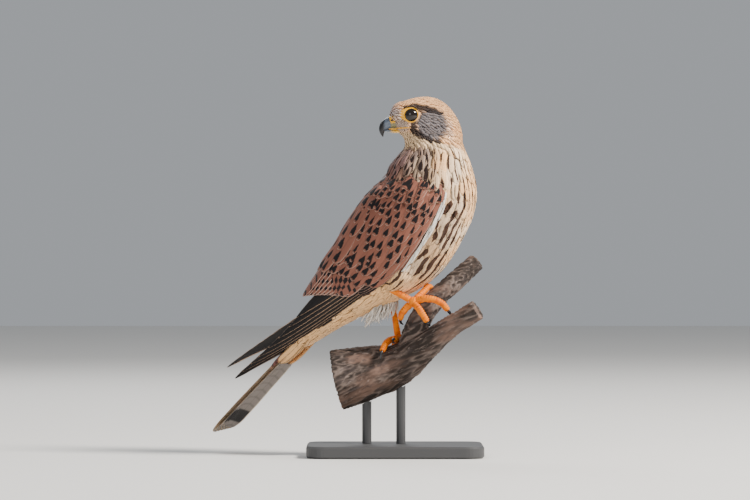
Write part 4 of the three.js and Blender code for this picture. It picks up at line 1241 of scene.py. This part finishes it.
# Legs: x, y, z and radius of places along each shank, sole and toe
LEGS = {
    RIGHT: {
        "tarsus": [[-3.2, -18.6, 142, 3.1], [3, -17.6, 138, 2.6], [12, -16.8, 133.2, 2.9]],
        "pad": [[12, -16.6, 132, 3.4], [15.6, -17, 131, 4.6], [18.6, -17.4, 130.4, 3.8]],
        "outer": [[16.5, -18.5, 130, 3], [20, -22.5, 125.5, 2.7], [23.6, -23.4, 120, 2.6],
                  [27, -22.6, 114.6, 2.3]],
        "middle": [[18, -18, 132, 3], [25, -21.7, 134, 2.8], [33, -22.8, 133, 2.7], [40, -22.2, 129.5, 2.6],
                   [44.6, -22, 124, 2.3]],
        "inner": [[18, -15, 133.5, 3], [23, -10, 138.5, 2.7], [28, -4, 143.6, 2.6], [31, 3, 142.5, 2.3]],
        "hind": [[12.5, -16, 129, 3], [9, -16, 125.5, 2.9], [5.6, -14.5, 121, 2.7], [4.6, -11, 116.6, 2.3]],
    },
    LEFT: {
        "tarsus": [[-2.6, 10.6, 135, 3.1], [-0.5, 10.8, 120, 2.5], [2.4, 12, 102, 2.9]],
        "pad": [[1.5, 11.6, 102, 3.2], [3, 12, 99.5, 4.3], [5, 13, 98.4, 3.6]],
        "outer": [[2, 15, 98.6, 3], [0.5, 20.5, 96, 2.7], [-1, 25.2, 90, 2.6], [-1.5, 27.6, 83.5, 2.3]],
        "middle": [[5, 14, 98.6, 3], [9.5, 15.4, 96, 2.7], [14, 16.2, 91.5, 2.6], [17.5, 14.4, 86, 2.3]],
        "inner": [[3, 9, 99, 3], [1.2, 4, 99.8, 2.7], [-0.8, -0.6, 99.3, 2.3]],
        "hind": [[0.5, 10, 99, 3], [-4, 2, 98.4, 2.8], [-8, -5, 95.4, 2.7], [-11, -11.5, 89.4, 2.3]],
    },
}

foot_shade = Shade("foot_scales", 0.5, specular=0.15)
foot_spots = foot_shade.step(0.4, 0.7, foot_shade.noise(260.0, 3.0))
foot_tone = foot_shade.mix(foot_spots, (0.80, 0.205, 0.0), (0.62, 0.11, 0.0))
foot_shade.paint(foot_shade.mix(foot_shade.attribute("groove", "Fac"), foot_tone, (0.30, 0.05, 0.0)))
foot_shade.bump(foot_shade.noise(1500.0, 2.0), 0.4, 0.0003)
RING_GAP = 0.35
END_ROUND = 2.0
PLATE_RISE = 0.5


def scaled_piece(name, rows, sides, scutes, joints):
    """A scaled toe or shank: plates across its upper side, pads under its joints."""
    rows = np.array(rows, float)
    length = np.linalg.norm(np.diff(rows[:, :3], axis=0), axis=1).sum()
    count = max(8, int(length / RING_GAP))
    at = np.linspace(0, len(rows) - 1, count)
    row = between(rows, at)
    run = unit(np.gradient(row[:, :3], axis=0))
    side = unit(np.cross(run, UP + 0.001 * BODY_FORWARD))
    top = np.cross(side, run)
    turn = circle(sides)
    cos, sin = np.cos(turn), np.sin(turn)
    rings, grooves = [], []
    for k in range(count):
        travelled = length * k / (count - 1)
        plate = abs(math.sin(math.pi * travelled / scutes)) ** 0.5
        pad = joints * np.maximum(-cos, 0) * math.sin(math.pi * at[k]) ** 2
        to_end = min(travelled, length - travelled, END_ROUND)
        ends = math.sin(math.pi / 2 * to_end / END_ROUND)
        radius = row[k, 3] * (0.86 + 0.14 * ends) + PLATE_RISE * (plate - 0.6) * np.maximum(cos, 0) + pad
        rings.append(row[k, :3] + radius[:, None] * (side[k] * sin[:, None] + top[k] * cos[:, None]))
        grooves.append(smooth(0.62, 0.3, plate) * smooth(-0.2, 0.5, cos))
    piece = surface_piece(name, rings, foot_shade.material)
    store(piece.data, "groove", np.concatenate(grooves))
    return piece


for side, name in SIDES:
    leg = LEGS[side]
    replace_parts(scaled_piece(f"shank_{name}", leg["tarsus"], 28, 2.6, 0.0), f"tarsus_{name}")
    toes = [scaled_piece(f"toe_{name}_{toe}", leg[toe], 24, 1.9, 0.35)
            for toe in ("outer", "middle", "inner", "hind")]
    scaled_piece(f"sole_{name}", leg["pad"], 24, 3.0, 0.0)
    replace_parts(toes[0], f"foot_{name}")

CLAW_VOXEL = 0.00035
claw_shade = plain("claw_horn", (0.016, 0.014, 0.015), 0.22, specular=0.6)
stand_shade = plain("stand_paint", (0.05, 0.05, 0.052), 0.45)
for name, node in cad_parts.items():
    if name.startswith("claw"):
        claw = joined_copy(name + "_horn", (name,))
        remeshed(claw, CLAW_VOXEL, 2)
        claw.data.materials.clear()
        claw.data.materials.append(claw_shade.material)
        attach(claw, "root")
        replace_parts(claw, name)
    elif name.startswith("stand"):
        node.data.materials.clear()
        node.data.materials.append(stand_shade.material)

# Perch: the cut branch with furrowed bark, whose pattern is drawn out along the limb
LIMB_WAY = unit(np.array([1.0, -0.38, 0.42]))
PERCH_VOXEL = 0.0012
perch = joined_copy("perch_bark", ("perch",))
remeshed(perch, PERCH_VOXEL, 4)
points, outward = coordinates(perch.data), vertex_normals(perch.data)
depth = np.empty(len(points))
grain_place = (points - np.outer(points @ LIMB_WAY, LIMB_WAY) * 0.7) / MM
for k, point in enumerate(points):
    stretched = point - LIMB_WAY * (point @ LIMB_WAY) * 0.82
    ridge = 1 - abs(noise.noise(Vector(stretched * 260.0)))
    lump = noise.noise(Vector(point * 60.0))
    fine = noise.noise(Vector(stretched * 900.0))
    depth[k] = 1.2 * (ridge ** 3 - 0.75) + 0.6 * lump + 0.35 * fine - 0.45
perch.data.vertices.foreach_set("co", (points + outward * depth[:, None] * MM).ravel())
perch.data.update()
store(perch.data, "grain_place", grain_place)
store(perch.data, "furrow", depth)
bark = Shade("bark", 0.85, specular=0.25)
# Deep in the furrows the bark is painted near black: painted shade in the hollows
high = bark.step(-1.0, 0.15, bark.attribute("furrow", "Fac"))
along_grain = bark.attribute("grain_place")
grain = bark.noise(0.42, 5.0, along_grain)
tone = bark.mix(high, (0.03, 0.022, 0.018), (0.19, 0.142, 0.12))
tone = bark.mix(bark.step(0.5, 0.68, bark.noise(0.06, 4.0, along_grain)), tone, (0.17, 0.105, 0.08))
dark_grain = bark.times(bark.step(0.5, 0.66, bark.noise(0.3, 5.0, along_grain)), 0.65)
tone = bark.mix(dark_grain, tone, (0.06, 0.045, 0.042))
bark.paint(bark.mix(bark.step(0.58, 0.86, grain), tone, (0.33, 0.255, 0.22)))
bark.bump(grain, 0.6, 0.0006)
perch.data.materials.clear()
perch.data.materials.append(bark.material)
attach(perch, "root")
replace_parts(perch, "perch")

# Camera, light and floor
VIEW_MIDDLE = (-0.017, 0.0, 0.175)
VIEW_WIDTH = 0.6375
CAMERA_AWAY = 3.5
FLOOR_DROP = 0.0002
camera_data = bpy.data.cameras.new("camera")
camera_data.sensor_width = 36.0
camera_data.lens = camera_data.sensor_width * CAMERA_AWAY / VIEW_WIDTH
camera_data.clip_end = 50.0
camera = linked("camera", camera_data)
camera.location = (VIEW_MIDDLE[0], -CAMERA_AWAY, VIEW_MIDDLE[2])
camera.rotation_euler = (math.pi / 2, 0, 0)
bpy.context.scene.camera = camera

world = bpy.data.worlds.new("world")
world.use_nodes = True
sky = world.node_tree.nodes["Background"].inputs
sky["Color"].default_value = (0.86, 0.90, 0.95, 1.0)
sky["Strength"].default_value = 0.42
bpy.context.scene.world = world


def soft_light(name, place, target, size, power, colour=(1.0, 1.0, 1.0)):
    data = bpy.data.lights.new(name, "AREA")
    data.size = size
    data.energy = power
    data.color = colour
    lamp = linked(name, data)
    lamp.location = place
    aim = Vector(target) - Vector(place)
    lamp.rotation_euler = aim.to_track_quat("-Z", "Y").to_euler()


soft_light("key", (2.0, -0.9, 2.1), (0, 0, 0.2), 0.7, 225, (1.0, 0.955, 0.89))
soft_light("fill", (-1.2, -2.4, 1.0), (0, 0, 0.18), 1.4, 16)
soft_light("back", (-0.6, 1.8, 1.7), (0, 0, 0.2), 1.2, 22)

bpy.ops.mesh.primitive_plane_add(size=12.0, location=(0, 0, -FLOOR_DROP))
floor = bpy.context.object
floor.name = "floor"
floor.data.materials.append(plain("floor_pale", (0.72, 0.71, 0.69), 0.8).material)
